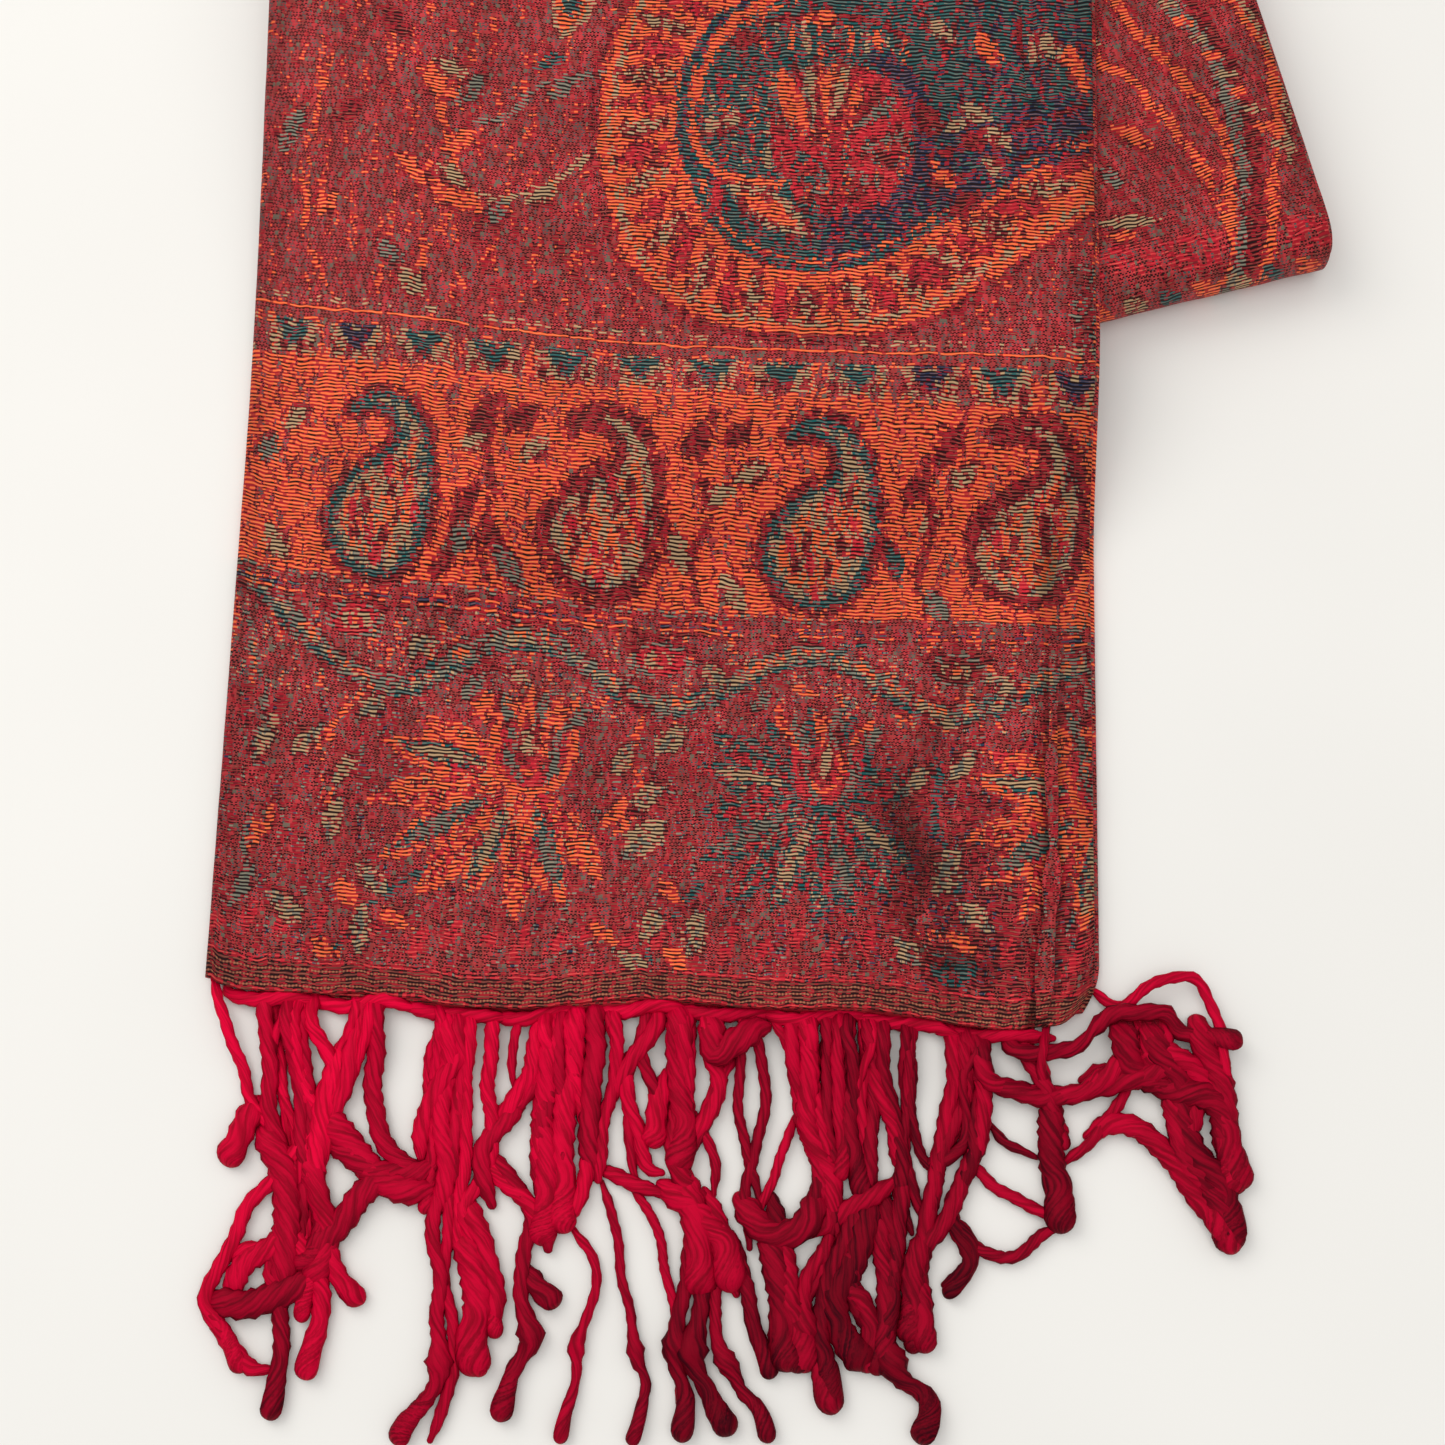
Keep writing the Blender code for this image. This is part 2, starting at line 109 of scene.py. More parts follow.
# Finer creases, same columns
FINE_CREASES = (
    (102.6, -6, 104, 14, 5.6, -2.7), (104, 14, 106.6, 36, 4.8, -2.4), (106.6, 36, 106.4, 66, 4.4, -1.9),
    (106.4, 66, 107.8, 98, 4, -1.2), (99.5, 0, 101.2, 60, 3.4, 0.9), (110, 0, 111.2, 60, 3, 0.8),
    (65, 29, 76, 17, 4, -1), (76, 17, 90, 15, 4, -0.9), (67.2, 56, 76, 24, 8.5, -0.8),
    (96, 75, 111, 150, 4.5, -0.8), (74, 70, 83, 92, 6, -0.9), (90, 0, 76, 30, 5, 0.6),
    (18, 0, 12, 22, 8, 0.6), (-55, 0, -60, 20, 8, 0.5), (-106, 20, -101, 120, 6, -0.5),
    (-100, 150, -80, 215, 7, 0.5), (101, 256, 98.5, 292, 3.4, -1.9), (85, 268, 93, 300, 4, 0.8),
    (30, 300, 95, 345, 9, -0.6), (-90, 300, -20, 330, 8, 0.6), (-40, 385, 50, 420, 7, -0.6),
)
# Creases of the second stretch, same columns, but down the pack instead of from the hem
SECOND_CREASES = (
    (70, 120, 95, 215, 8, -0.8), (100, 60, 108, 170, 5, 0.7), (55, 205, 100, 250, 6, -0.7),
    (90, 232, 112, 262, 5, 0.8), (110, 20, 104, 75, 4, -0.6),
)
# Where troughs cross, they deepen each other only up to this depth
TROUGH_LIMIT = 0.0026

# Weave
WEFT_PITCH = 0.00104
SHEET = 0.0009
FINE_COLUMN = 0.0015
ROW_DRIFT = (
    # v, then constant, linear, square and cubic drift of a row across the band (cm)
    (0.0, 0.0, 0.0, 0.0, 0.0),
    (10.6, -0.19, -0.456, 0.57, -0.334),
    (18.4, -0.57, -0.65, 0.88, -0.51),
    (28.2, -0.05, -0.68, 0.66, -0.37),
    (44.4, 0.0, 1.536, 0.0, 0.0),
)

# Yarns that a motif is woven in; the rest of a place is the red ground
ORANGE, BEIGE, TEAL, NAVY, GREY, MAROON, CRIMSON, HEM = range(8)


def smooth(share):
    """Ease a share from 0 to 1 with flat ends."""
    share = np.clip(share, 0.0, 1.0)
    return share * share * (3.0 - 2.0 * share)


def pack_local(along, across):
    """Place in the band's frame of a point of the pack, from the top fold's middle."""
    return along * sin(SWING) + across * cos(SWING), across * sin(SWING) - along * cos(SWING)


ORIGIN_X, ORIGIN_Y = pack_local(PACK_LENGTH / 2, 0.0)


def stack(x, y, z):
    """Arrays of x, y and z as one array of points."""
    return np.stack(np.broadcast_arrays(x, y, z), axis=-1)


def band_point(across, from_hem, height):
    return stack(across - ORIGIN_X, from_hem - FRONT_LENGTH - ORIGIN_Y, height)


def pack_point(along, across, height):
    x, y = pack_local(along, across)
    return stack(x - ORIGIN_X, y - ORIGIN_Y, height)


def ripple(across, along, seed, count, shortest, longest, height):
    """Soft uneven waves: sines of many lengths and headings."""
    draw = np.random.default_rng(seed)
    total = 0.0
    for _ in range(count):
        length = shortest * (longest / shortest) ** draw.random()
        heading, phase = draw.uniform(0.0, pi, 2)
        place = (across * cos(heading) + along * sin(heading)) / length
        total = total + (length / longest) ** 0.6 * np.sin(2 * pi * place + 2 * phase)
    return total * height / sqrt(count)


def hem_line(across):
    """Gentle wave of a hem along its width, lower to the right, with its corners rounded in."""
    share = across / HALF_BAND
    wave = HEM_WAVE * (np.sin(5.1 * share + 0.6) + 0.6 * np.sin(11.3 * share + 2.0)) - HEM_SKEW * across
    corner = np.where(across > 0.0, CORNER_ROUND, LEFT_CORNER_ROUND)
    depth = np.clip((np.abs(across) - (HALF_BAND - corner)) / corner, 0.0, 1.0)
    return wave + corner * (1.0 - np.sqrt(1.0 - 0.75 * depth * depth))


def crease_height(across, from_hem, creases):
    """Sum of soft troughs and ridges at each point."""
    total = 0.0
    for x0, y0, x1, y1, half_width, height in np.array(creases) / 1000:
        dx, dy = x1 - x0, y1 - y0
        length = sqrt(dx * dx + dy * dy)
        along = ((across - x0) * dx + (from_hem - y0) * dy) / length
        aside = ((across - x0) * dy - (from_hem - y0) * dx) / length
        beyond = np.maximum(np.maximum(-along, along - length), 0.0)
        total = total + height * (1.0 - smooth(np.abs(aside) / half_width)) * (
            1.0 - smooth(beyond / (2 * half_width)))
    return np.where(total < 0.0, TROUGH_LIMIT * np.tanh(total / TROUGH_LIMIT), total)


def front_rise(across, from_hem):
    """Height of the front stretch's underside: on the pack, then easing to the ground."""
    y = from_hem - FRONT_LENGTH
    along = across * sin(SWING) - y * cos(SWING)
    side = across * cos(SWING) + y * sin(SWING)
    past_end = np.maximum(along - PACK_LENGTH - EASE_END_MARGIN, 0.0)
    past_side = np.maximum(-side - HALF_BAND - EASE_SIDE_MARGIN, 0.0)
    lift = TOP_LIFT * smooth(1.0 - (FRONT_LENGTH - from_hem) / TOP_LIFT_RUN)
    return FRONT_BASE * (1.0 - smooth(np.hypot(past_end, past_side) / EASE_LENGTH)) + lift


def row_drift(across, v):
    """How far a weft row strays along the band at each place across it."""
    knots = np.array(ROW_DRIFT)
    t = across / HALF_BAND
    factors = [np.interp(v * 100, knots[:, 0], knots[:, k + 1]) for k in range(4)]
    return 0.01 * (factors[0] + factors[1] * t + factors[2] * t**2 + factors[3] * t**3)


def place_front(across, share, v):
    """World points of the front stretch: up the band, then round the top fold and tucked under."""
    turn = np.clip((v - FRONT_LENGTH) / TURN_LENGTH, 0.0, 1.0) * pi
    tuck = np.maximum(v - FRONT_LENGTH - TURN_LENGTH, 0.0)
    flat_v = np.minimum(v, FRONT_LENGTH)
    near_fold = smooth((FRONT_LENGTH - flat_v) / FOLD_CALM)
    wobble = ripple(across, flat_v, *HEM_WOBBLE) * near_fold
    peep = PEEP_REACH * sum(np.exp(-((across - place) / PEEP_WIDTH)**2) for place in PEEPS)
    peep = peep * (1.0 - smooth(share / 0.75)) * (1.0 - smooth(flat_v / PEEP_RUN))
    hem = (1.0 - smooth(flat_v / HEM_FADE)) * hem_line(across)
    s = flat_v + row_drift(across, flat_v) + hem + wobble - peep
    pull = CORNER_PULL * (1.0 - np.minimum(flat_v / CORNER_PULL_RUN, 1.0))**2
    across = across - pull * smooth((across - 0.08) / 0.036)
    creases = crease_height(across, s, CREASES + FINE_CREASES)
    relief = ripple(across, flat_v, *FRONT_RELIEF) * near_fold
    thickness = STRETCH_THICKNESS + creases * near_fold + relief
    flat = band_point(across, s, front_rise(across, s) + share * thickness)
    radius = TOP_LOOP_RADIUS + share * STRETCH_THICKNESS
    out = radius * np.sin(turn)
    fold = band_point(
        across - out * sin(FOLD_SLOPE),
        FRONT_LENGTH + across * tan(FOLD_SLOPE) + out * cos(FOLD_SLOPE),
        TOP_LOOP_HEIGHT + radius * np.cos(turn))
    inward = np.minimum(tuck / TOP_TUCK, 1.0)[..., None]
    under = pack_point(
        TOP_TUCK / cos(FOLD_SLOPE) + across * tan(FOLD_SLOPE), across,
        SECOND_TOP - share * STRETCH_THICKNESS)
    return np.where((v > FRONT_LENGTH)[..., None], fold * (1.0 - inward) + under * inward, flat)


def place_second(across, share, v):
    """World points of the second stretch: down the pack, round its lower end and under it."""
    down = np.minimum(v / SECOND_RUN, 1.0)
    turn = np.clip((v - SECOND_RUN) / ROLL_LENGTH, 0.0, 1.0) * pi
    tuck = np.clip((v - SECOND_RUN - ROLL_LENGTH) / ROLL_TUCK, 0.0, 1.0)
    skew = tan(FOLD_SLOPE) * (1.0 - smooth(down * 1.6))
    relief = ripple(across, v, *SECOND_RELIEF) + crease_height(across, v, SECOND_CREASES)
    radius = ROLL_INNER_RADIUS + share * (STRETCH_THICKNESS + relief)
    height = ROLL_RADIUS + radius * np.cos(turn)
    along = SECOND_START + SECOND_RUN * down + across * skew + radius * np.sin(turn) - tuck * ROLL_TUCK
    under = np.maximum(STRETCH_THICKNESS * (1.0 - share), 0.0)
    settle = smooth(turn / pi * 1.6 - 0.6)
    height = np.where(turn > 0.5 * pi, height * (1.0 - settle) + under * settle, height)
    return pack_point(along, across, np.maximum(height, 0.0001))


def place_far(across, share, v):
    """World points of the far stretch: v runs in from its hem, on the ground."""
    hem = -FAR_HEM + hem_line(-across)
    inner = FAR_TUCK + across * tan(FOLD_SLOPE)
    along = hem + (inner - hem) * v / FAR_LENGTH
    relief = ripple(across, v, *FAR_RELIEF)
    return pack_point(along, across, share * (STRETCH_THICKNESS + relief))


def centre_path(columns, coarse):
    """Middle of a sheet folded in thirds: across, height, outward normal and place in the cut."""
    high, low, middle = 0.00375, 0.00045, 0.00211
    left_radius, right_radius = (high - low) / 2, (middle - low) / 2
    right = HALF_BAND + 0.001
    path = [(x, high, 0.0, 1.0, x + HALF_BAND) for x in columns]
    cut = 0.0
    for k in range(1, coarse):
        turn = pi * k / coarse
        path.append((-HALF_BAND - left_radius * sin(turn), low + left_radius * (1 + cos(turn)),
                     -sin(turn), cos(turn), cut - left_radius * turn))
    cut -= pi * left_radius
    for x in np.linspace(-HALF_BAND, right, coarse + 3):
        path.append((x, low, 0.0, -1.0, cut - (x + HALF_BAND)))
    cut -= right + HALF_BAND
    for k in range(1, coarse):
        turn = pi * k / coarse
        path.append((right + right_radius * sin(turn), low + right_radius * (1 - cos(turn)),
                     sin(turn), -cos(turn), cut - right_radius * turn))
    cut -= pi * right_radius
    for x in np.linspace(right, -HALF_BAND + 0.004, coarse + 3):
        path.append((x, middle, 0.0, 1.0, cut - (right - x)))
    return path


def folded_ring(first_fine):
    """Ring round the folded sheet's section: across, share of the thickness, place in the cut.

    The top panel has fine columns from its open edge to first_fine and wide ones beyond it.
    """
    open_edge = HALF_BAND + 0.0006
    count = round((open_edge - first_fine) / FINE_COLUMN)
    fine = list(np.linspace(open_edge, first_fine, count + 1))
    if first_fine > -HALF_BAND:
        fine += list(np.linspace(first_fine, -HALF_BAND, 22)[1:])
    outer = centre_path(fine, 6)
    inner = centre_path(list(np.linspace(open_edge, -HALF_BAND, 20)), 4)
    half = SHEET / 2
    ring = [(x + half * nx, h + half * nh, cut) for x, h, nx, nh, cut in outer]
    x, h, _, _, cut = outer[-1]
    ring.append((x - 0.0003, h, cut))
    ring += [(x - half * nx, h - half * nh, cut) for x, h, nx, nh, cut in reversed(inner)]
    x, h, _, _, cut = outer[0]
    ring.append((x + 0.0003, h, cut))
    ring = np.array(ring)
    return ring[:, 0], ring[:, 1] / STRETCH_THICKNESS, ring[:, 2]


def smooth_line(points, steps=5):
    """Points of a smooth curve through the given ones, for a motif or a strand."""
    points = np.array(points, dtype=float)
    padded = np.vstack([2 * points[0] - points[1], points, 2 * points[-1] - points[-2]])
    t = np.arange(steps)[:, None] / steps
    pieces = []
    for a, b, c, d in zip(padded, padded[1:], padded[2:], padded[3:]):
        pieces.append(0.5 * (2 * b + (c - a) * t + (2 * a - 5 * b + 4 * c - d) * t**2
                             + (3 * b - a - 3 * c + d) * t**3))
    pieces.append(points[-1:])
    return np.vstack(pieces)


class Canvas:
    """Shares of each yarn on a stretch's weft rows (v) and columns (u), in centimetres."""

    def __init__(self, u, v, shares):
        self.u, self.v, self.shares = u, v, shares

    def at(self, u, v):
        """The same weave, measured from a motif's middle."""
        return Canvas(self.u - u, self.v - v, self.shares)

    def lay(self, yarn, box, distance, strength=1.0, soft=0.05):
        """Weave a yarn where distance(x, y) is below zero, inside the box u0, u1, v0, v1."""
        rows = np.flatnonzero((self.v > box[2]) & (self.v < box[3]))
        columns = np.flatnonzero((self.u > box[0]) & (self.u < box[1]))
        if not rows.size or not columns.size:
            return
        y = self.v[rows][:, None]
        cover = 0.0
        for shift in (-0.04, 0.04):
            x = self.u[columns][None, :] + shift
            cover = cover + np.clip(0.5 - distance(x, y) / (2 * soft), 0.0, 1.0) / 2
        cover = (cover * strength)[..., None]
        place = np.ix_(rows, columns)
        part = self.shares[place] * (1.0 - cover)
        part[..., yarn] += cover[..., 0]
        self.shares[place] = part

    def bands(self, *rows):
        """Weave yarns over the whole width: yarn, first and last place up the band, strength."""
        for yarn, v0, v1, strength in rows:
            self.lay(yarn, (-99, 99, v0 - 0.2, v1 + 0.2),
                     lambda x, y: np.maximum(v0 - y, y - v1) + 0 * x, strength)

    def leaf(self, yarn, x0, y0, x1, y1, width, strength=1.0, grow=0.0):
        """Pointed leaf from one tip to the other."""
        length = max(sqrt((x1 - x0)**2 + (y1 - y0)**2), 0.01)
        dx, dy = (x1 - x0) / length, (y1 - y0) / length
        cx, cy = (x0 + x1) / 2, (y0 + y1) / 2
        reach = length / 2 + grow

        def distance(x, y):
            p = ((x - cx) * dx + (y - cy) * dy) / reach
            q = (y - cy) * dx - (x - cx) * dy
            return np.abs(q) - (width / 2 + grow) * np.clip(1.0 - p * p, -1.0, 1.0)

        edge = reach + width
        self.lay(yarn, (cx - edge, cx + edge, cy - edge, cy + edge), distance, strength)

    def leaves(self, rows, strength, rim, grow=0.12, hearts=False):
        """Leaves of a table, each on a soft dark rim; hearts puts grey in the beige ones."""
        for yarn, *tips, width in rows:
            self.leaf(MAROON, *tips, width, rim, grow)
            self.leaf(yarn, *tips, width, strength)
            if hearts and yarn == BEIGE:
                self.leaf(GREY, *tips, 0.4 * width, 0.5)

    def line(self, yarn, points, width, strength=1.0, dash=0.0):
        """Smooth stroke through points, broken into dashes where dash is their pitch."""
        path = smooth_line(points)
        margin = width + 0.3
        box = (path[:, 0].min() - margin, path[:, 0].max() + margin,
               path[:, 1].min() - margin, path[:, 1].max() + margin)
        self.lay(yarn, box, lambda x, y: tapered(x, y, path, np.full(len(path), width / 2), dash), strength)

    def ring(self, yarn, cx, cy, rx, ry, width, strength=1.0):
        """Ellipse drawn as a line, or filled where width is 0."""
        def distance(x, y):
            away = (np.sqrt(((x - cx) / rx)**2 + ((y - cy) / ry)**2) - 1.0) * min(rx, ry)
            return np.abs(away) - width / 2 if width else away

        edge = max(rx, ry) + width + 0.2
        self.lay(yarn, (cx - edge, cx + edge, cy - edge, cy + edge), distance, strength)


def tapered(x, y, path, radii, dash=0.0):
    """Distance outside a stroke whose half width changes along its path."""
    best = np.full(np.broadcast(x, y).shape, 99.0)
    run = 0.0
    for (x0, y0), (x1, y1), r0, r1 in zip(path, path[1:], radii, radii[1:]):
        dx, dy = x1 - x0, y1 - y0
        length = max(sqrt(dx * dx + dy * dy), 1e-6)
        t = np.clip(((x - x0) * dx + (y - y0) * dy) / length**2, 0.0, 1.0)
        away = np.hypot(x - x0 - t * dx, y - y0 - t * dy) - (r0 + (r1 - r0) * t)
        if dash:
            away = away + np.where(((run + t * length) / dash) % 1.0 > 0.62, 0.3, 0.0)
        best = np.minimum(best, away)
        run += length
    return best


# Floral border, v 0 to 10.6. Flowers: centre u, v, outline yarn; petal tips from the centre
FLOWERS = (
    (8.2, 6.5, ORANGE, ((-3.2, 1.0), (-4.0, 0.3), (-4.4, -1.3), (-4.0, -2.9), (-2.9, -3.8),
                        (-1.6, -3.7), (-0.1, -4.3), (1.1, -3.9), (2.2, -3.2))),
    (16.2, 6.3, TEAL, ((-3.1, 1.3), (-3.4, 0.3), (-3.4, -1.0), (-3.3, -2.4), (-2.6, -3.6),
                       (-1.4, -3.8), (-0.1, -4.0), (0.9, -3.9), (2.0, -3.3), (2.4, -2.4), (2.8, 0.2))),
    (23.7, 6.3, ORANGE, ((-3.2, 1.0), (-3.4, 0.2), (-3.7, -1.6), (-3.3, -2.8), (-2.3, -3.6), (-0.6, -4.0))),
)
# Leaves of the sprigs: yarn, tips' u, v and u, v, width
SPRIG_LEAVES = (
    (BEIGE, 3.4, 7.3, 4.2, 8, 0.5), (BEIGE, 1.7, 6.2, 2.5, 7, 0.5), (BEIGE, 2.8, 5.5, 3.5, 6.3, 0.5),
    (BEIGE, 2.8, 4, 3.2, 5.2, 0.5), (BEIGE, 0.7, 5.9, 1.2, 7.2, 0.45), (ORANGE, 0.8, 3.6, 1.4, 5, 0.42),
    (BEIGE, 1.4, 2.6, 2.4, 1.8, 0.62), (BEIGE, 3.7, 3.5, 4.5, 2.7, 0.55), (BEIGE, 3.9, 1, 3.9, 2.4, 0.62),
    (ORANGE, 2.6, 1.5, 3.3, 0.9, 0.5), (ORANGE, 3.2, 3, 3.8, 2.2, 0.5), (ORANGE, 4.4, 2.3, 5.2, 1.8, 0.5),
    (BEIGE, 10.5, 6.2, 11, 7.2, 0.5), (BEIGE, 11.6, 6.9, 12.5, 7.8, 0.55), (BEIGE, 11, 5.3, 12, 6.1, 0.55),
    (BEIGE, 10.8, 3.9, 12, 5.1, 0.8), (ORANGE, 10.3, 4.8, 11, 5.7, 0.45),
    (BEIGE, 11.4, 1.5, 11.9, 2.6, 0.55), (BEIGE, 12.8, 1.2, 13, 2.6, 0.6),
    (BEIGE, 10.8, 1.3, 11.7, 0.7, 0.55), (ORANGE, 12, 1.5, 12.7, 0.8, 0.5),
    (ORANGE, 10, 2.2, 10.8, 1.5, 0.45), (ORANGE, 11.9, 3.4, 12.5, 2.6, 0.45),
    (BEIGE, 18.4, 5.9, 19, 6.9, 0.55), (BEIGE, 19.5, 6.4, 20.4, 7.3, 0.5),
    (BEIGE, 19.2, 3.2, 19.8, 4.6, 0.75), (BEIGE, 19.8, 3.2, 20.7, 2.4, 0.55),
    (BEIGE, 18.1, 2.1, 18.9, 1.3, 0.6), (TEAL, 20, 0.8, 20.1, 2.1, 0.55), (TEAL, 19, 1.6, 19.8, 0.9, 0.45),
    (ORANGE, 19.6, 2.4, 20.3, 1.8, 0.45), (GREY, 0.3, 2, 0.9, 3.2, 0.5), (BEIGE, 4.8, 9.1, 5.6, 9.7, 0.48),
    (BEIGE, 12.7, 9.6, 13.6, 9, 0.52), (BEIGE, 20.6, 9.5, 21.5, 8.9, 0.5), (GREY, 6.2, 8.1, 7, 8.9, 0.42),
    (GREY, 14.1, 8.2, 14.8, 8.8, 0.42), (MAROON, 22, 8, 22.8, 8.7, 0.42),
)
# Stems: yarn, width, points
STEMS = (
    (ORANGE, 0.16, ((3.6, 8), (2.9, 7.2), (2.6, 6.3), (2.8, 5.2), (3, 4.2))),
    (TEAL, 0.2, ((5.6, 3.5), (4.8, 2.9), (4, 2.2), (3.3, 1.2))),
    (ORANGE, 0.14, ((11.3, 8), (11, 7.2), (11.2, 6.2), (11.1, 5.2), (10.6, 4.6))),
    (TEAL, 0.2, ((13.1, 3.4), (12.3, 2.4), (11.5, 0.9))),
    (TEAL, 0.18, ((19.2, 7.6), (19.3, 6.4), (19.2, 5.2), (19.7, 4.2), (19.9, 2.6), (19.5, 1))),
)
LEFT_STEM = ((0.2, 9.6), (0.5, 8.6), (0.9, 7.6), (0.7, 6.2), (0.9, 5), (0.6, 3.8), (0.8, 2.6))
VINE_PERIOD = 7.75
VINE_TROUGH = 4.2
VINE_MIDDLE = 9.1
VINE_SWING = 0.8
# Threads of the vine: yarn, height over its line, width, strength
VINE_THREADS = (
    (MAROON, 0, 0.84, 0.6), (GREY, 0, 0.58, 0.85), (ORANGE, 0.1, 0.22, 0.45), (BEIGE, -0.06, 0.26, 0.42),
    (TEAL, -0.24, 0.14, 0.6),
)
ROSETTES = (
    (3.3, 9.9, CRIMSON), (11.7, 9.6, CRIMSON), (19.8, 9.6, MAROON),
)

# Paisley border, v 10.9 to 17: bulb centre u, v and outline yarn; spine as u, v and radius
PAISLEYS = (
    (3.85, 12.5, TEAL), (10, 12.65, MAROON), (15.9, 12.75, TEAL), (21.6, 13.1, MAROON),
)
PAISLEY_SPINE = (
    (0, 0, 1.46), (0.42, 0.62, 1.24), (0.78, 1.22, 0.9), (0.98, 1.8, 0.64), (1.03, 2.35, 0.48),
    (0.86, 2.86, 0.39), (0.5, 3.22, 0.32), (0.02, 3.36, 0.25), (-0.42, 3.28, 0.18), (-0.72, 3.04, 0.1),
)
PAISLEY_LEAVES = (
    (MAROON, 6.5, 15, 7.1, 16.4, 0.5), (MAROON, 7.5, 15.3, 8.3, 16.2, 0.5),
    (MAROON, 6.1, 12.6, 6.7, 13.6, 0.42), (MAROON, 6.8, 12.9, 7.5, 12, 0.42),
    (MAROON, 5.5, 11.2, 6.2, 12, 0.42), (MAROON, 12.4, 15, 12.9, 16.2, 0.5),
    (MAROON, 13.4, 15.4, 14.1, 16.2, 0.42), (MAROON, 19.2, 15.3, 19.9, 16.5, 0.5),
    (MAROON, 18.3, 14.1, 18.9, 15, 0.42), (BEIGE, 6.2, 14.6, 7, 15.2, 0.42),
    (BEIGE, 7.9, 14.5, 8.6, 15.3, 0.45), (GREY, 6, 11.7, 6.5, 12.7, 0.45), (GREY, 7.2, 12.2, 8, 11.1, 0.62),
    (BEIGE, 0.9, 14.9, 1.7, 15.5, 0.45), (GREY, 0.3, 13.8, 0.7, 14.7, 0.45),
    (BEIGE, 0.6, 12.2, 1.2, 11.2, 0.55), (BEIGE, 13.7, 14.5, 14.6, 15, 0.5),
    (BEIGE, 12.9, 13.8, 13.7, 14.4, 0.48), (BEIGE, 12, 13.1, 12.4, 12, 0.5),
    (BEIGE, 13.3, 12.1, 14, 11.1, 0.58), (BEIGE, 19.5, 14.8, 20.3, 15.4, 0.45),
    (GREY, 18.9, 12, 19.5, 11, 0.5), (TEAL, 17.8, 13.3, 18.3, 12.2, 0.42),
    (BEIGE, 18.7, 13.5, 19.3, 14.1, 0.38),
)
# Stripes under the border, each 0.1 high
BORDER_STRIPES = (
    (MAROON, 10.36), (ORANGE, 10.47), (NAVY, 10.58), (ORANGE, 10.69), (MAROON, 10.8), (GREY, 10.91),
)
TRIANGLE_PITCH = 1.98
TRIANGLE_FIRST = 1.7
TRIANGLE_FOOT = 17.02
TRIANGLE_TOP = 17.95

# Field above the borders
FIELD_LEAVES = (
    (ORANGE, 5, 22.3, 6.6, 21.6, 0.75), (BEIGE, 5.2, 22.9, 6, 22.2, 0.5),
    (ORANGE, 4.4, 25.6, 5.6, 24.8, 0.75), (BEIGE, 4.9, 25.9, 5.9, 25.4, 0.5),
    (GREY, 5.6, 24.6, 6.4, 25.6, 0.5), (ORANGE, 5.2, 23.2, 6.2, 23.9, 0.6), (ORANGE, 4, 22.9, 5, 22.2, 0.6),
    (BEIGE, 4.2, 19.6, 5, 19, 0.62), (GREY, 3.6, 20.4, 4.4, 19.7, 0.5), (GREY, 0.5, 22.6, 1.1, 24, 0.62),
    (BEIGE, 7.7, 22, 8.6, 22.6, 0.45), (GREY, 6.6, 21.2, 7.2, 22, 0.42), (GREY, 8.2, 25, 9, 25.8, 0.45),
    (TEAL, 7.8, 25.9, 8.6, 26.5, 0.4), (MAROON, 3.2, 27.2, 4.2, 26.4, 0.6),
    (ORANGE, 1.6, 20.9, 2.3, 21.6, 0.45), (MAROON, 2, 23.6, 2.9, 24.3, 0.5), (GREY, 3, 28.6, 3.8, 28, 0.5),
)
FIELD_LINES = (
    (ORANGE, 0.13, ((1.9, 25.6), (1.6, 24), (1.3, 22.1), (1.4, 20.5), (1.9, 19.3), (2.3, 18.7))),
    (BEIGE, 0.2, ((6.2, 22.1), (6.9, 22), (8.2, 22.5), (9.1, 23.3), (9.7, 23.9))),
    (GREY, 0.2, ((6.2, 24.2), (7, 24.4), (8.1, 25.5), (9.7, 26))),
    (ORANGE, 0.22, ((5.3, 25.6), (5.2, 24.4), (5.6, 23.2), (5.7, 22), (5.2, 20.6), (4.6, 19.3))),
)
# Arcs over the border: ends' u, v
FAN_LINES = ((6.4, 21.6, 7.2, 18.9), (7.3, 21.9, 8.6, 18.9), (8.2, 22, 10, 19), (9, 22.2, 11.2, 18.9))
# Big leaf left of the medallion: yarn, tips, width, strength
BIG_LEAF = ((BEIGE, 8.4, 26.9, 9.1, 29.2, 1.25, 0.9), (ORANGE, 8.45, 27.1, 9, 28.9, 0.85, 0.8),
            (TEAL, 8.6, 27.5, 8.9, 28.6, 0.4, 1))

# Big paisley of the field: edge of its orange band, edge of its teal eye, and what is in the eye
BIG_EDGE = (
    (11.6, 30.4), (10.5, 28.3), (9.75, 26), (9.65, 23.8), (10.2, 21.5), (11.1, 20.1), (12.4, 19.3),
    (13.9, 18.9), (16, 18.8), (17.6, 18.95), (19.3, 19.6), (21, 20.8), (23.4, 22.5), (26, 24.2),
    (27.4, 27.6), (26, 31.4), (22.4, 34.6), (18.6, 36), (15.2, 35.4), (12.9, 33), (11.6, 30.4),
)
EYE_EDGE = (
    (14.9, 28.7), (13.6, 28), (12.5, 26.9), (12, 25.4), (12, 23.9), (12.6, 22.2), (13.8, 21), (15.5, 20.55),
    (17.3, 20.9), (19.1, 21.9), (21, 23.2), (23.4, 24.8), (25.2, 27.4), (24.2, 30.4), (21.2, 32.4),
    (18.4, 32.9), (16.2, 31.2), (14.9, 28.7),
)
BIG_SPOTS = 43
EYE_MIDDLE = (16.1, 24.5)
EYE_LOOP = (
    (14.4, 28.5), (13.2, 27.6), (12.45, 26.2), (12.3, 24.6), (12.7, 23.6), (13.4, 23.15), (14.6, 23.05),
)
EYE_BODY = (16.45, 24.4)
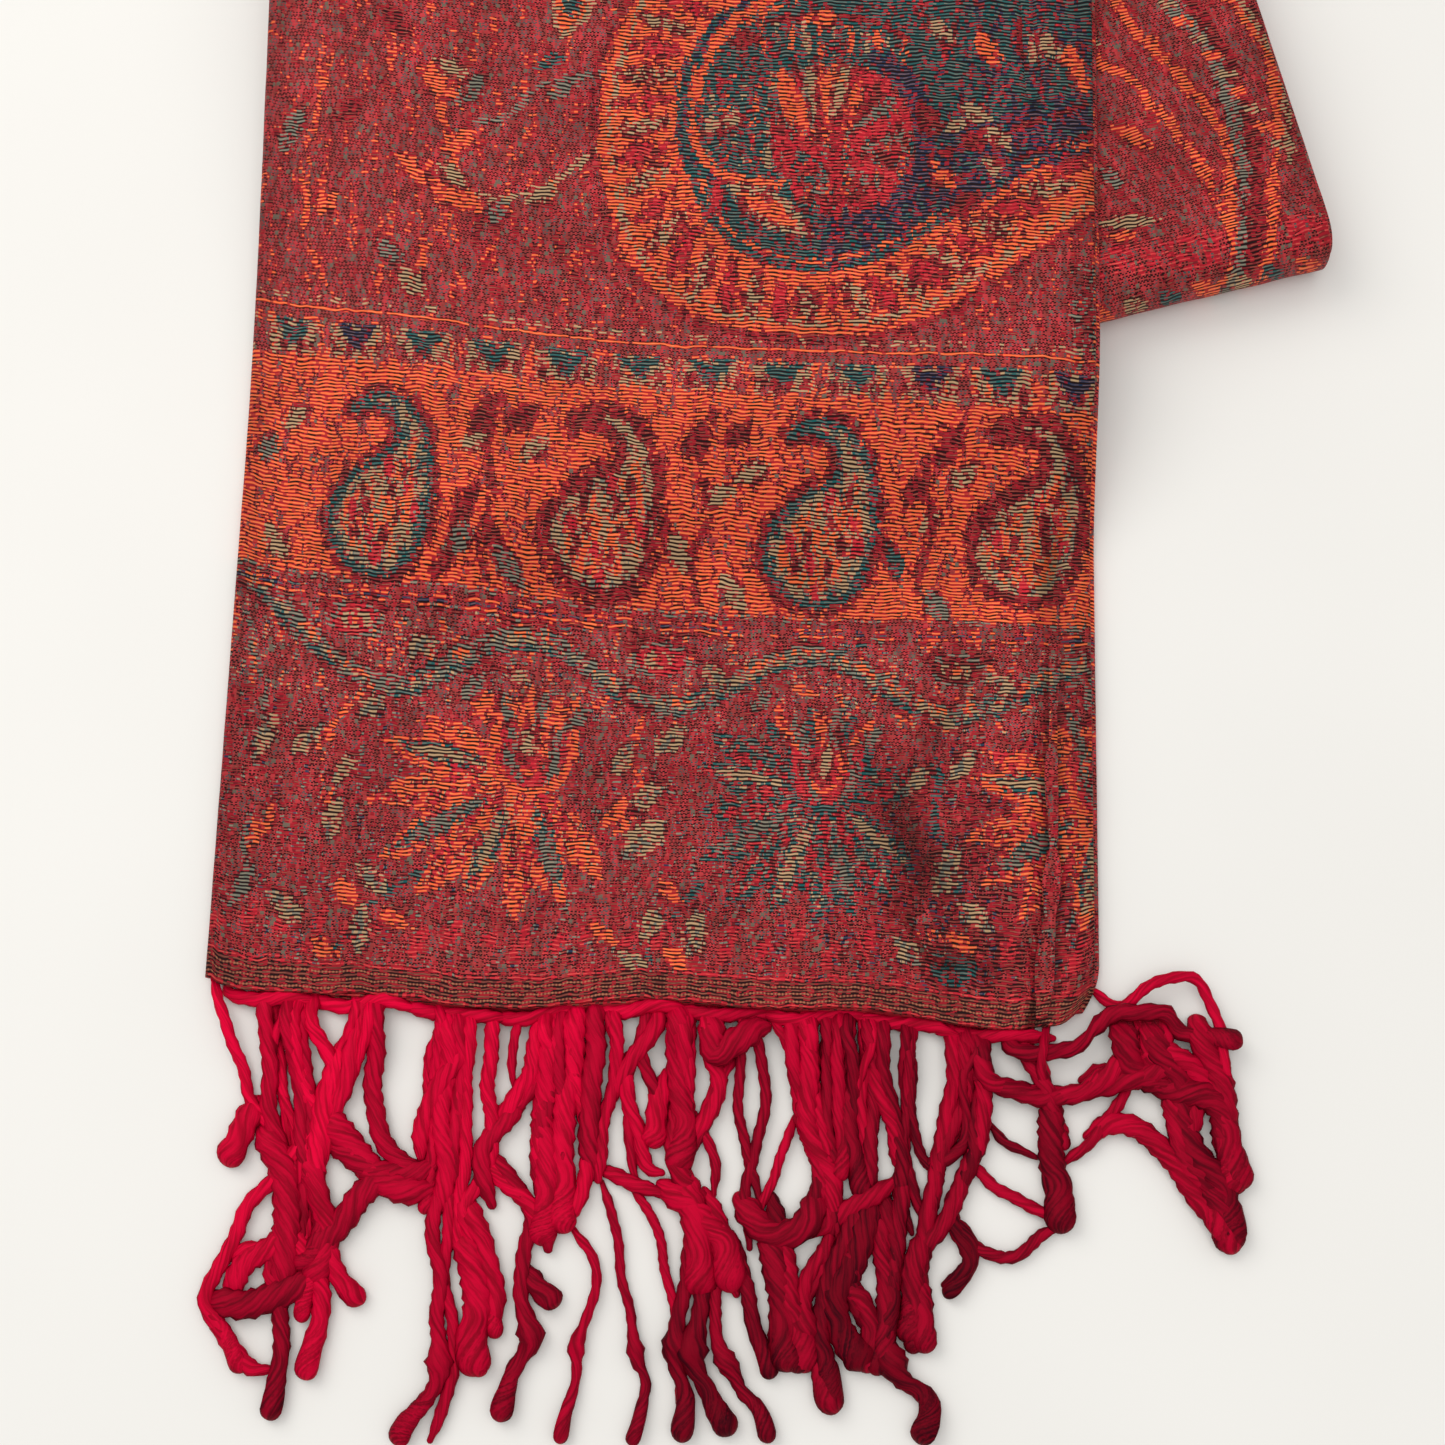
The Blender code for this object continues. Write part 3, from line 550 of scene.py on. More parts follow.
EYE_SHADE = (
    (17.5, 26.8), (18.35, 25.9), (18.68, 24.6), (18.5, 23.4), (17.8, 22.5), (16.6, 22.2),
)
# Petals of the fan: yarn, foot and tip, width
FAN = (
    (ORANGE, 15.45, 24.6, 14.6, 26.4, 0.66), (GREY, 15.65, 24.9, 15.35, 26.7, 0.3),
    (BEIGE, 15.7, 24.9, 15.5, 26.7, 0.34), (ORANGE, 15.85, 24.5, 15.85, 26.8, 0.3),
    (ORANGE, 16, 24.5, 16.18, 26.8, 0.26), (BEIGE, 16.15, 24.8, 16.6, 26.6, 0.46),
    (ORANGE, 16.25, 24.5, 17.05, 26.4, 0.26), (ORANGE, 16.35, 24.5, 17.35, 26.2, 0.2),
    (MAROON, 16.5, 24.6, 17.7, 26, 0.24), (GREY, 16.6, 24.5, 18, 25.7, 0.26),
    (CRIMSON, 16.8, 24.4, 18.2, 25.3, 0.3), (GREY, 16.9, 24.1, 18.3, 24.6, 0.22),
)
EYE_RIGHT = (
    (BEIGE, 19.7, 25.5, 20.6, 25, 0.5), (BEIGE, 20.4, 24.9, 21.2, 24.2, 0.5),
    (BEIGE, 19.3, 24.6, 20, 25.1, 0.4), (BEIGE, 20.4, 24, 20.9, 23.3, 0.4),
    (MAROON, 19.9, 24.7, 20.4, 24.2, 0.6), (ORANGE, 18.9, 23.8, 19.6, 23.1, 0.5),
    (BEIGE, 22, 27.8, 22.6, 26.4, 0.45), (ORANGE, 22.7, 27.4, 23.2, 26, 0.45),
    (TEAL, 22.3, 27, 22.9, 25.6, 0.35), (MAROON, 21.4, 28.2, 21.9, 26.7, 0.5),
    (ORANGE, 20.2, 27.6, 20.8, 26.6, 0.5), (BEIGE, 18.9, 28, 19.6, 27.2, 0.5),
    (BEIGE, 13.3, 23, 15.7, 21.6, 0.9), (ORANGE, 13.6, 22.8, 15.3, 21.8, 0.5),
    (CRIMSON, 13, 23.1, 13, 22, 0.3), (MAROON, 13.2, 27.1, 14.2, 27.4, 0.5),
    (ORANGE, 15.4, 27.9, 16.3, 28, 0.42), (MAROON, 19.4, 22.3, 20.2, 22.9, 0.4),
    (MAROON, 18.6, 25.5, 19, 24.4, 0.5),
)

# Second stretch: u across the pack and v down it, in centimetres
SECOND_LINES = (
    (ORANGE, 0.28, (
        (18.3, 17.6), (18.6, 19.5), (19.3, 20.3), (19.7, 21.2), (20.1, 22.2), (20.5, 23.4), (20.8, 24.9),
        (20.7, 26.2))),
    (ORANGE, 0.3, (
        (19.2, 16.4), (19.8, 18.7), (20.2, 19.4), (20.7, 20.6), (21.1, 21.5), (21.3, 22.5), (21.3, 23.5),
        (21, 24.9), (20.7, 26), (20.1, 27.2), (19.4, 28.6))),
    (GREY, 0.5, (
        (20.6, 17.2), (21.3, 18.9), (21.7, 19.7), (21.9, 20.7), (21.75, 23.4), (21.4, 25), (20.8, 26.6),
        (20.2, 28.4))),
    (MAROON, 0.34, ((21.3, 17), (22, 19.6), (22.3, 21.6), (22, 23.6), (21.5, 25.4), (20.8, 27.6))),
    (ORANGE, 0.3, (
        (22.3, 17.2), (23, 19.4), (23.3, 20.7), (22.9, 22.8), (22.2, 24.6), (21.5, 27), (20.8, 29))),
    (BEIGE, 0.18, ((22.8, 18), (23.3, 19.8), (23.5, 21.4), (22.9, 24))),
)
SECOND_LEAVES = (
    (BEIGE, 17.2, 24.4, 18.9, 24.7, 0.42), (ORANGE, 17.4, 24.8, 18.4, 25.1, 0.3),
    (BEIGE, 16.2, 21.2, 17.2, 22, 0.45), (ORANGE, 18.6, 21.6, 19.4, 22.6, 0.42),
    (GREY, 17.6, 22.8, 18.4, 23.5, 0.42), (ORANGE, 16.8, 19.6, 17.7, 20.4, 0.45),
    (BEIGE, 18.2, 18.4, 18.9, 19.2, 0.38), (TEAL, 19.3, 14.2, 20.2, 15.2, 0.55),
    (ORANGE, 20.2, 12.6, 21.2, 13.8, 0.55), (BEIGE, 21.3, 10.8, 22.2, 11.8, 0.5),
    (MAROON, 22, 13.8, 22.8, 15, 0.5), (ORANGE, 22.3, 8.2, 23, 9.4, 0.5),
)
SECOND_SPOTS = 10


def weave_hem(canvas):
    """Ribbed hem: dark rows dotted with light, and a thin bright line above them."""
    canvas.bands((HEM, -1, 0.74, 1), (CRIMSON, -1, 0.06, 0.9), (CRIMSON, 0.74, 0.86, 0.6))


def weave_floral(canvas):
    """Border of a winding vine, rosettes, sprigs and three large flowers."""
    canvas.bands((MAROON, 0, 7.8, 0.32), (ORANGE, 7.8, 10.5, 0.17), (BEIGE, 7.8, 10.5, 0.07),
                 (NAVY, 0, 10.5, 0.06), (GREY, 0, 10.5, 0.1))
    for yarn, strength in ((MAROON, 0.35), (GREY, 0.3), (TEAL, 0.12)):
        canvas.lay(yarn, (22.75, 99, 2, 21), lambda x, y: 0 * (x + y) - 1, strength)
    # Painted shade: a soft dark patch of maroon and navy over the border's lower right, where the cloth lies
    # in a shallow trough
    for yarn, middle, wide, reach, strength in ((MAROON, 21.5, 1.3, 3.6, 0.58), (NAVY, 18.5, 1.5, 3, 0.16)):
        canvas.lay(yarn, (-99, 99, -1, 10.5),
                   lambda x, y: np.hypot((x - middle) / wide, y - 3) - reach, strength, 2.2)
    for yarn, width, points in STEMS:
        canvas.line(yarn, points, width)
    for u, v, yarn, tips in FLOWERS:
        weave_flower(canvas.at(u, v), yarn, tips)
    for k in range(26):
        u = 0.92 * k - 0.3
        canvas.leaf(CRIMSON, u, 1 + 0.3 * (k % 3), u + 0.5, 1.9 + 0.4 * (k % 2), 0.34, 0.8)
    run = np.linspace(-1, 24.3, 60)
    vine = VINE_MIDDLE - VINE_SWING * np.cos(2 * pi * (run - VINE_TROUGH) / VINE_PERIOD)
    vine = vine + 0.8 * np.exp(-((run + 0.5) / 1.6)**2)
    for yarn, rise, width, strength in VINE_THREADS:
        canvas.line(yarn, np.stack([run, vine + rise], axis=1)[::2], width, strength)
    for k in range(12):
        u = 0.9 + 1.95 * k
        tendril = canvas.at(u, np.interp(u, run, vine))
        side = 1 - 2 * (k % 2)
        tendril.line((TEAL, MAROON)[k % 2], ((0, 0), (0.35, 0.42 * side), (0.9, 0.55 * side)), 0.14, 0.8)
        tendril.leaf((BEIGE, ORANGE, GREY)[k % 3], 0.8, 0.52 * side, 1.4, 0.72 * side, 0.3, 0.8)
    for u, v, yarn in ROSETTES:
        rosette = canvas.at(u, v)
        for thread, wide, high, width in ((GREY, 0.78, 0.5, 0), (yarn, 0.62, 0.38, 0),
                                          (BEIGE, 0.34, 0.18, 0.1), (ORANGE, 0.14, 0.1, 0)):
            rosette.ring(thread, 0, 0, wide, high, width)
        for k in range(5):
            turn = pi * (0.15 + 0.175 * k)
            rosette.leaf(MAROON, 0.7 * cos(turn), 0.45 * sin(turn), 1.15 * cos(turn), 0.8 * sin(turn), 0.3)
    canvas.leaves(SPRIG_LEAVES, 0.9, 0.6, hearts=True)
    canvas.line(GREY, LEFT_STEM, 0.16, 0.7)


def weave_flower(canvas, yarn, tips):
    """Large open flower: outlined petals, light inside, round an eye with a small crown."""
    for x, y in tips:
        canvas.leaf(yarn, 0.12 * x, 0.12 * y - 0.35, x, y, 0.98, 0.92)
    tint, amount = (ORANGE, 0.4) if yarn == ORANGE else (GREY, 0.24)
    for k, (x, y) in enumerate(tips):
        light = (0.12, 0.26)[k % 2]
        for thread, strength in ((CRIMSON, 0.9), (MAROON, 0.38), (BEIGE, light), (tint, amount)):
            canvas.leaf(thread, 0.16 * x, 0.16 * y - 0.35, 0.93 * x, 0.93 * y, 0.7, strength)
    for k, (x, y) in enumerate(tips):
        if k % 2:
            canvas.leaf(TEAL, 0.26 * x, 0.26 * y - 0.2, 0.9 * x, 0.9 * y, 0.5, 0.85)
            canvas.leaf((BEIGE, GREY)[k % 4 // 2], 0.26 * x, 0.26 * y - 0.2, 0.9 * x, 0.9 * y, 0.3)
        else:
            canvas.line(yarn, ((0.3 * x, 0.3 * y - 0.2), (0.78 * x, 0.78 * y)), 0.16, 0.9)
    canvas.ring(CRIMSON, 0.15, 0.35, 1.1, 1.05, 0, 0.85)
    canvas.ring(MAROON, 0.15, 0.35, 0.8, 0.8, 0, 0.5)
    canvas.line(yarn, ((-0.95, 1), (-0.9, -0.1), (-0.3, -0.75), (0.5, -0.7), (1.1, -0.1), (1.2, 0.9)), 0.2)
    canvas.line(ORANGE, ((-0.45, 0.9), (-0.4, 0.1), (0, -0.3), (0.45, 0.1), (0.45, 0.9)), 0.17)
    for k in (-1, 1):
        canvas.line(GREY, ((0.15 + 0.66 * k, 1), (0.15 + 0.6 * k, 0), (0.15 + 0.3 * k, -0.5)), 0.22, 0.9)
    canvas.leaf(MAROON, -0.1, -0.1, 0.15, 1.15, 0.5, 0.9)
    canvas.leaf(BEIGE, -0.05, 0, 0.1, 1.05, 0.3, 0.9)
    for k in range(-4, 5):
        plume = (0.238 * k, 0.9, 0.425 * k, 2.3 - 0.14 * abs(k))
        canvas.leaf(MAROON, *plume, 0.46, 0.7)
        canvas.leaf((ORANGE, GREY, yarn)[k % 3], *plume, 0.34, 0.8)


def weave_paisleys(canvas):
    """Orange border with a row of paisleys, sprigs between them and triangles above."""
    canvas.bands((ORANGE, 10.95, 17, 0.8), (ORANGE, 17, 18.05, 0.4),
                 *((yarn, v - 0.05, v + 0.05, 0.62) for yarn, v in BORDER_STRIPES))
    canvas.leaves(PAISLEY_LEAVES, 0.95, 0.7, 0.1)
    for u in (7, 12.75, 18.9):
        canvas.at(u, 0).line(MAROON, ((0.3, 16.3), (0, 15), (0.2, 13.6), (-0.2, 12.4), (0, 11.2)), 0.2, 0.85)
    spine = smooth_line(PAISLEY_SPINE)
    for u, v, yarn in PAISLEYS:
        weave_paisley(canvas.at(u, v), spine[:, :2], spine[:, 2], yarn)
    for k in range(-1, 13):
        weave_triangles(canvas.at(TRIANGLE_FIRST + TRIANGLE_PITCH * (k - 0.3), TRIANGLE_FOOT),
                        NAVY if k in (1, 9, 11) else TEAL)
    canvas.bands((ORANGE, 18.3, 18.42, 0.95), (BEIGE, 18.56, 18.66, 0.7))


def weave_paisley(canvas, spine, radii, yarn):
    """Curled drop: soft rim, outline, thin light line and a speckled filling."""
    for thread, depth, strength in ((MAROON, -0.26, 0.75), (yarn, 0, 1), (BEIGE, 0.2, 0.84), (GREY, 0.2, 0.2),
                                    (ORANGE, 0.44, 0.6)):
        canvas.lay(thread, (-2.8, 3.1, -2, 5.4), lambda x, y: tapered(x, y, spine, radii) + depth, strength)
    for row in range(5):
        for k in range(5):
            x, y = 0.46 * k + 0.22 * (row % 2) + 0.1 * row - 0.95, 0.62 * row - 0.95
            if tapered(x, y, spine, radii) < -0.42:
                fill = (BEIGE, MAROON, CRIMSON, MAROON)[(k + row) % 4]
                canvas.leaf(fill, x, y - 0.34, x + 0.06, y + 0.34, 0.24, 0.95)


def weave_triangles(canvas, yarn):
    """Light block of small triangles with a dark inverted one on it."""
    top = TRIANGLE_TOP - TRIANGLE_FOOT
    box = (-1.2, 1.2, -0.3, top + 0.3)
    canvas.lay(BEIGE, box, lambda x, y: np.maximum(np.abs(x) - 0.78, np.abs(y - top / 2) - top / 2), 0.72)
    for k in range(4):
        canvas.leaf(MAROON, 0.4 * k - 0.6, 0, 0.4 * k - 0.6, 0.5, 0.2, 0.8)
    canvas.lay(yarn, box, lambda x, y: np.maximum(
        np.abs(x) - 0.62 * (y - 0.12) / (top - 0.12), np.maximum(y - top, 0.12 - y)))
    canvas.leaf(BEIGE, -0.22, top - 0.1, 0.22, top - 0.1, 0.16, 0.7)


def weave_field(canvas):
    """Red field with echo lines and sprigs, and the big paisley with its teal eye."""
    canvas.bands((ORANGE, 18.8, 60, 0.1))
    canvas.lay(MAROON, (-99, 99, 18.7, 99), lambda x, y: 0.12 * (0.25 - np.sin(
        2 * pi * (x + 0.5 * np.sin(y / 2.4) + 0.25 * np.sin(x * 0.9 + y * 0.4)) / 0.52)), 0.4, 0.09)
    canvas.lay(ORANGE, (-99, 99, 18.7, 99), lambda x, y: 0.12 * (0.7 - np.sin(
        2 * pi * (x + 0.5 * np.sin(y / 2.4) + 0.26) / 1.04)), 0.14, 0.09)
    for u0, v0, u1, v1 in FAN_LINES:
        canvas.line(MAROON, ((u0, v0), ((u0 + u1) / 2 - 0.25, (v0 + v1) / 2), (u1, v1)), 0.14, 0.8)
    for yarn, width, points in FIELD_LINES:
        canvas.line(yarn, points, width, 0.9)
    canvas.leaves(FIELD_LEAVES, 0.85, 0.6)
    for row in range(4):
        for k in range(6):
            sprig = canvas.at(1.4 + 4.2 * k + 2.1 * (row % 2), 31.6 + 3.3 * row)
            weave_sprig(sprig, (ORANGE, TEAL)[(k + row) % 2])
    for yarn, *tips, width, strength in BIG_LEAF:
        canvas.leaf(yarn, *tips, width, strength)
    weave_big_paisley(canvas)


def weave_sprig(canvas, yarn):
    """Small flower of five petals on a curved stem with two leaves."""
    canvas.line(MAROON, ((0, -0.3), (0.2, -0.9), (-0.1, -1.6)), 0.18, 0.9)
    canvas.leaf(BEIGE, 0.2, -1, 0.95, -0.6, 0.36, 0.9)
    canvas.leaf(GREY, 0.1, -1.2, -0.7, -0.9, 0.34, 0.9)
    for k in range(5):
        turn = radians(18 + 36 * k)
        canvas.leaf(yarn, 0.15 * cos(turn), 0.15 * sin(turn), cos(turn), 0.9 * sin(turn), 0.4, 0.95)
    canvas.ring(CRIMSON, 0, 0, 0.3, 0.26, 0)


def closed_shape(points):
    """Distance outside the shape that the points' smooth outline closes, from the eye's middle."""
    path = smooth_line(points) - EYE_MIDDLE
    bearing = np.unwrap(np.arctan2(path[:, 1], path[:, 0]))
    reach = np.hypot(path[:, 0], path[:, 1])

    def distance(x, y):
        angle = np.mod(np.arctan2(y, x) - bearing[0], 2 * pi) + bearing[0]
        return np.hypot(x, y) - np.interp(angle, bearing, reach)

    return distance


def weave_big_paisley(canvas):
    """Orange band with oval spots round a teal eye, and the fan flower in it."""
    big = canvas.at(*EYE_MIDDLE)
    box = (-7.6, 11.9, -6.7, 20.5)
    outside, eye = closed_shape(BIG_EDGE), closed_shape(EYE_EDGE)
    big.lay(MAROON, box, lambda x, y: outside(x, y) - 0.3, 0.6)
    big.lay(ORANGE, box, outside, 0.92)
    big.lay(BEIGE, box, lambda x, y: np.abs(outside(x, y) + 0.34) - 0.07, 0.85)
    steps = np.linspace(2, 13, 111)
    for k in range(BIG_SPOTS):
        turn = radians(118) + 2 * pi * k / BIG_SPOTS
        near, far = (steps[shape(steps * cos(turn), steps * sin(turn)) < 0].max(initial=0)
                     for shape in (eye, outside))
        start, stop = near + 0.17 * (far - near), near + 0.83 * (far - near)
        spot = (start * cos(turn), start * sin(turn), stop * cos(turn + 0.1), stop * sin(turn + 0.1))
        big.leaf(MAROON, *spot, 0.5, 0.6, 0.1)
        big.leaf((CRIMSON, BEIGE)[k % 2], *spot, 0.42, 0.56)
    for yarn, strength in ((CRIMSON, 1), (MAROON, 0.6), (TEAL, 0.84)):
        big.lay(yarn, box, eye, strength)
    big.lay(NAVY, box, lambda x, y: np.maximum(
        eye(x, y) + 0.2, np.maximum(-0.3 - x, y + 1.6 - 0.42 * (x + 0.1))), 0.5, 0.25)
    big.lay(NAVY, box, lambda x, y: np.maximum(eye(x, y) + 0.2, 3.4 - x), 0.25, 0.8)
    big.lay(ORANGE, box, lambda x, y: np.abs(eye(x, y) + 0.32) - 0.06, 0.8)
    weave_eye(canvas)


def weave_eye(canvas):
    """What is inside the big paisley's teal eye."""
    canvas.line(MAROON, ((14.2, 27.75), (15.8, 28), (17.3, 27.9), (18.3, 27.3)), 0.16, 0.9)
    for k in range(11):
        lash = canvas.at(14.2 + 0.41 * k, 26.95 - 0.02 * max(k - 5, 0)**2)
        lash.line((ORANGE, BEIGE)[k % 2], ((0, 0), (-0.04, 0.4), (-0.12, 0.8)), 0.14, 0.9)
    for k in range(5):
        row = canvas.at(12.75 + 0.42 * k, 0)
        row.line((BEIGE, ORANGE)[k % 2], ((0, 23.6), (-0.05, 24.6), (0.1, 26.2)), 0.14, 0.9, 0.36)
    canvas.leaf(MAROON, 12.5, 24.4, 13.9, 25, 0.6, 0.8)
    canvas.leaf(BEIGE, 12.5, 24.5, 13.8, 25, 0.34, 0.9)
    for yarn, u, v, width, strength in ((TEAL, -0.34, -0.04, 0.36, 1), (NAVY, -0.4, -0.04, 0.2, 0.5),
                                        (ORANGE, 0, 0, 0.3, 1)):
        canvas.line(yarn, np.array(EYE_LOOP) + (u, v), width, strength)
    canvas.line(NAVY, EYE_SHADE, 0.6, 0.8)
    body = canvas.at(*EYE_BODY)
    for yarn, strength in ((CRIMSON, 0.85), (GREY, 0.17), (MAROON, 0.3), (ORANGE, 0.08)):
        body.ring(yarn, 0, 0, 2, 2.2, 0, strength)
    for k in range(9):
        turn = radians(-5 - 21 * k)
        body.leaf((MAROON, CRIMSON, GREY)[k % 3], 0.5 * cos(turn) - 0.3, 0.3 * sin(turn) - 0.5,
                  1.8 * cos(turn), 1.7 * sin(turn) - 0.3, 0.34, 0.4)
    body.leaf(ORANGE, -0.8, -0.2, -0.5, 2.3, 2.4, 0.35)
    for petal in FAN:
        canvas.leaf(*petal, 0.95)
    for x, y in ((15.05, 26.6), (15.72, 26.8), (16.38, 26.7), (16.85, 26.4), (17.5, 26)):
        canvas.line(MAROON, ((15.9 + 0.3 * (x - 15.9), 24.8), (x, y)), 0.13, 0.85)
    body.ring(MAROON, -0.5, 0.1, 0.45, 0.3, 0, 0.5)
    body.ring(TEAL, -0.95, -0.9, 0.36, 0.36, 0.18, 0.8)
    canvas.leaves(EYE_RIGHT, 0.95, 0.6, 0.1)
    for k in range(5):
        row = canvas.at(0, 0.42 * k)
        row.line((NAVY, MAROON)[k % 2], ((18.9, 22.7), (21, 23.45), (23.5, 24.4)), 0.13, 0.8)


def weave_second(canvas):
    """Field of the second stretch: long orange curves, a striped edge and small sprigs."""
    canvas.lay(MAROON, (-99, 99, -9, 99), lambda x, y: 0.12 * (0.3 - np.sin(
        2 * pi * (x - 0.45 * y + 0.5 * np.sin(y / 2.6)) / 0.5)), 0.7, 0.09)
    canvas.lay(CRIMSON, (-99, 99, 24.6, 26.6), lambda x, y: np.abs(y - 25.6 - 0.06 * (x - 18)) - 0.45, 0.35)
    for yarn, width, points in SECOND_LINES:
        canvas.line(MAROON, points, width + 0.16, 0.5)
        canvas.line(yarn, points, width, 0.95)
    for k in range(SECOND_SPOTS):
        run = 0.62 * k
        spot = canvas.at(20 + 0.42 * run - 0.012 * run**2, 17.6 + run)
        spot.leaf((ORANGE, BEIGE)[k % 2], 0.5, 0, 1.1, 0.34, 0.3, 0.9)
    canvas.leaves(SECOND_LEAVES, 0.9, 0.7)
    for k in range(14):
        canvas.leaf((ORANGE, BEIGE, TEAL)[k % 3], 10.5 + k, 26.5, 11.25 + k, 27.2, 0.5, 0.85)
    canvas.bands((ORANGE, 27.6, 27.8, 0.9), (ORANGE, 28.4, 34, 0.6))


def dye(red, green, blue):
    """Linear colour, with alpha, of a screen colour given from 0 to 255."""
    parts = [part / 255 for part in (red, green, blue)]
    return tuple(part / 12.92 if part <= 0.04 else ((part + 0.055) / 1.055)**2.4 for part in parts) + (1.0,)


# Colour of each yarn, in the order of their names, and how much of the gaps beside it is painted shade, not
# warp
YARN_COLOURS = (
    dye(255, 108, 58), dye(184, 150, 112), dye(14, 92, 92), dye(30, 50, 78),
    dye(118, 122, 108), dye(122, 22, 34), dye(206, 34, 52), dye(112, 46, 42),
)
GAP_SHADE_SHARES = (0.62, 0.95, 0.88, 0.88, 0.92, 0.66, 0.4, 0.66)
GROUND = dye(208, 42, 56)
GROUND_DEEP = dye(154, 40, 42)
GROUND_DARK = dye(24, 10, 14)
GROUND_TEAL = dye(66, 82, 82)
GROUND_GREY = dye(112, 98, 84)
# Painted shade in the gaps between weft rows
GAP_SHADE = dye(30, 8, 10)
WARP = dye(168, 26, 40)
GLINT = dye(255, 176, 128)
HEM_DOT = dye(196, 132, 92)


class Graph:
    """One material, with short calls for its nodes."""

    def __init__(self, name, roughness, sheen=0.0, sheen_tint=(1.0, 1.0, 1.0, 1.0), specular=0.4):
        self.material = bpy.data.materials.new(name)
        self.material.use_nodes = True
        self.tree = self.material.node_tree
        self.shader = self.tree.nodes["Principled BSDF"]
        for socket, value in (("Roughness", roughness), ("Sheen Weight", sheen), ("Sheen Roughness", 0.4),
                              ("Sheen Tint", sheen_tint), ("Specular IOR Level", specular)):
            self.shader.inputs[socket].default_value = value

    def node(self, kind, inputs=(), **settings):
        node = self.tree.nodes.new("ShaderNode" + kind)
        for key, value in settings.items():
            setattr(node, key, value)
        for key, value in dict(inputs).items():
            self.feed(node.inputs[key], value)
        return node

    def feed(self, socket, value):
        if isinstance(value, bpy.types.NodeSocket):
            self.tree.links.new(value, socket)
        else:
            socket.default_value = value

    def math(self, operation, *values):
        return self.node("Math", enumerate(values), operation=operation).outputs[0]

    def mix(self, share, first, second, blend="MIX"):
        inputs = {0: share, 6: first, 7: second}
        return self.node("Mix", inputs, data_type="RGBA", blend_type=blend).outputs[2]

    def attribute(self, name):
        return self.node("Attribute", attribute_name=name).outputs

    def split(self, vector):
        return self.node("SeparateXYZ", {0: vector}).outputs

    def cells(self, x, y, seed):
        """Random number for each whole step of x and y."""
        steps = {0: self.math("FLOOR", x), 1: self.math("FLOOR", y), 2: seed}
        place = self.node("CombineXYZ", steps).outputs[0]
        return self.node("TexWhiteNoise", {"Vector": place}, noise_dimensions="3D").outputs["Value"]

    def noise(self, vector, scale, detail=2.0):
        return self.node("TexNoise", {"Vector": vector, "Scale": scale, "Detail": detail}).outputs[0]

    def ramp(self, value, low, high, start=0.0, end=1.0):
        inputs = {"Value": value, "From Min": low, "From Max": high, "To Min": start, "To Max": end}
        return self.node("MapRange", inputs, interpolation_type="SMOOTHSTEP").outputs[0]

    def finish(self, colour, height=None, relief=0.0):
        self.feed(self.shader.inputs["Base Color"], colour)
        if height is not None:
            bump = self.node("Bump", {"Height": height, "Strength": 0.5, "Distance": relief}).outputs[0]
            self.feed(self.shader.inputs["Normal"], bump)
        return self.material


TICK_LENGTH = 0.105
WARP_PITCH = 0.033
DOT_PITCH = 0.095
WEAVE_RELIEF = 0.0004
FIBRE_RELIEF = 0.0006
FOLD_EDGES = (0.0, BAND_WIDTH * 100)
MATHS = (
    "MULTIPLY", "MULTIPLY_ADD", "LESS_THAN", "GREATER_THAN", "ADD", "SUBTRACT", "DIVIDE", "FLOOR", "FRACT",
    "ABSOLUTE",
)


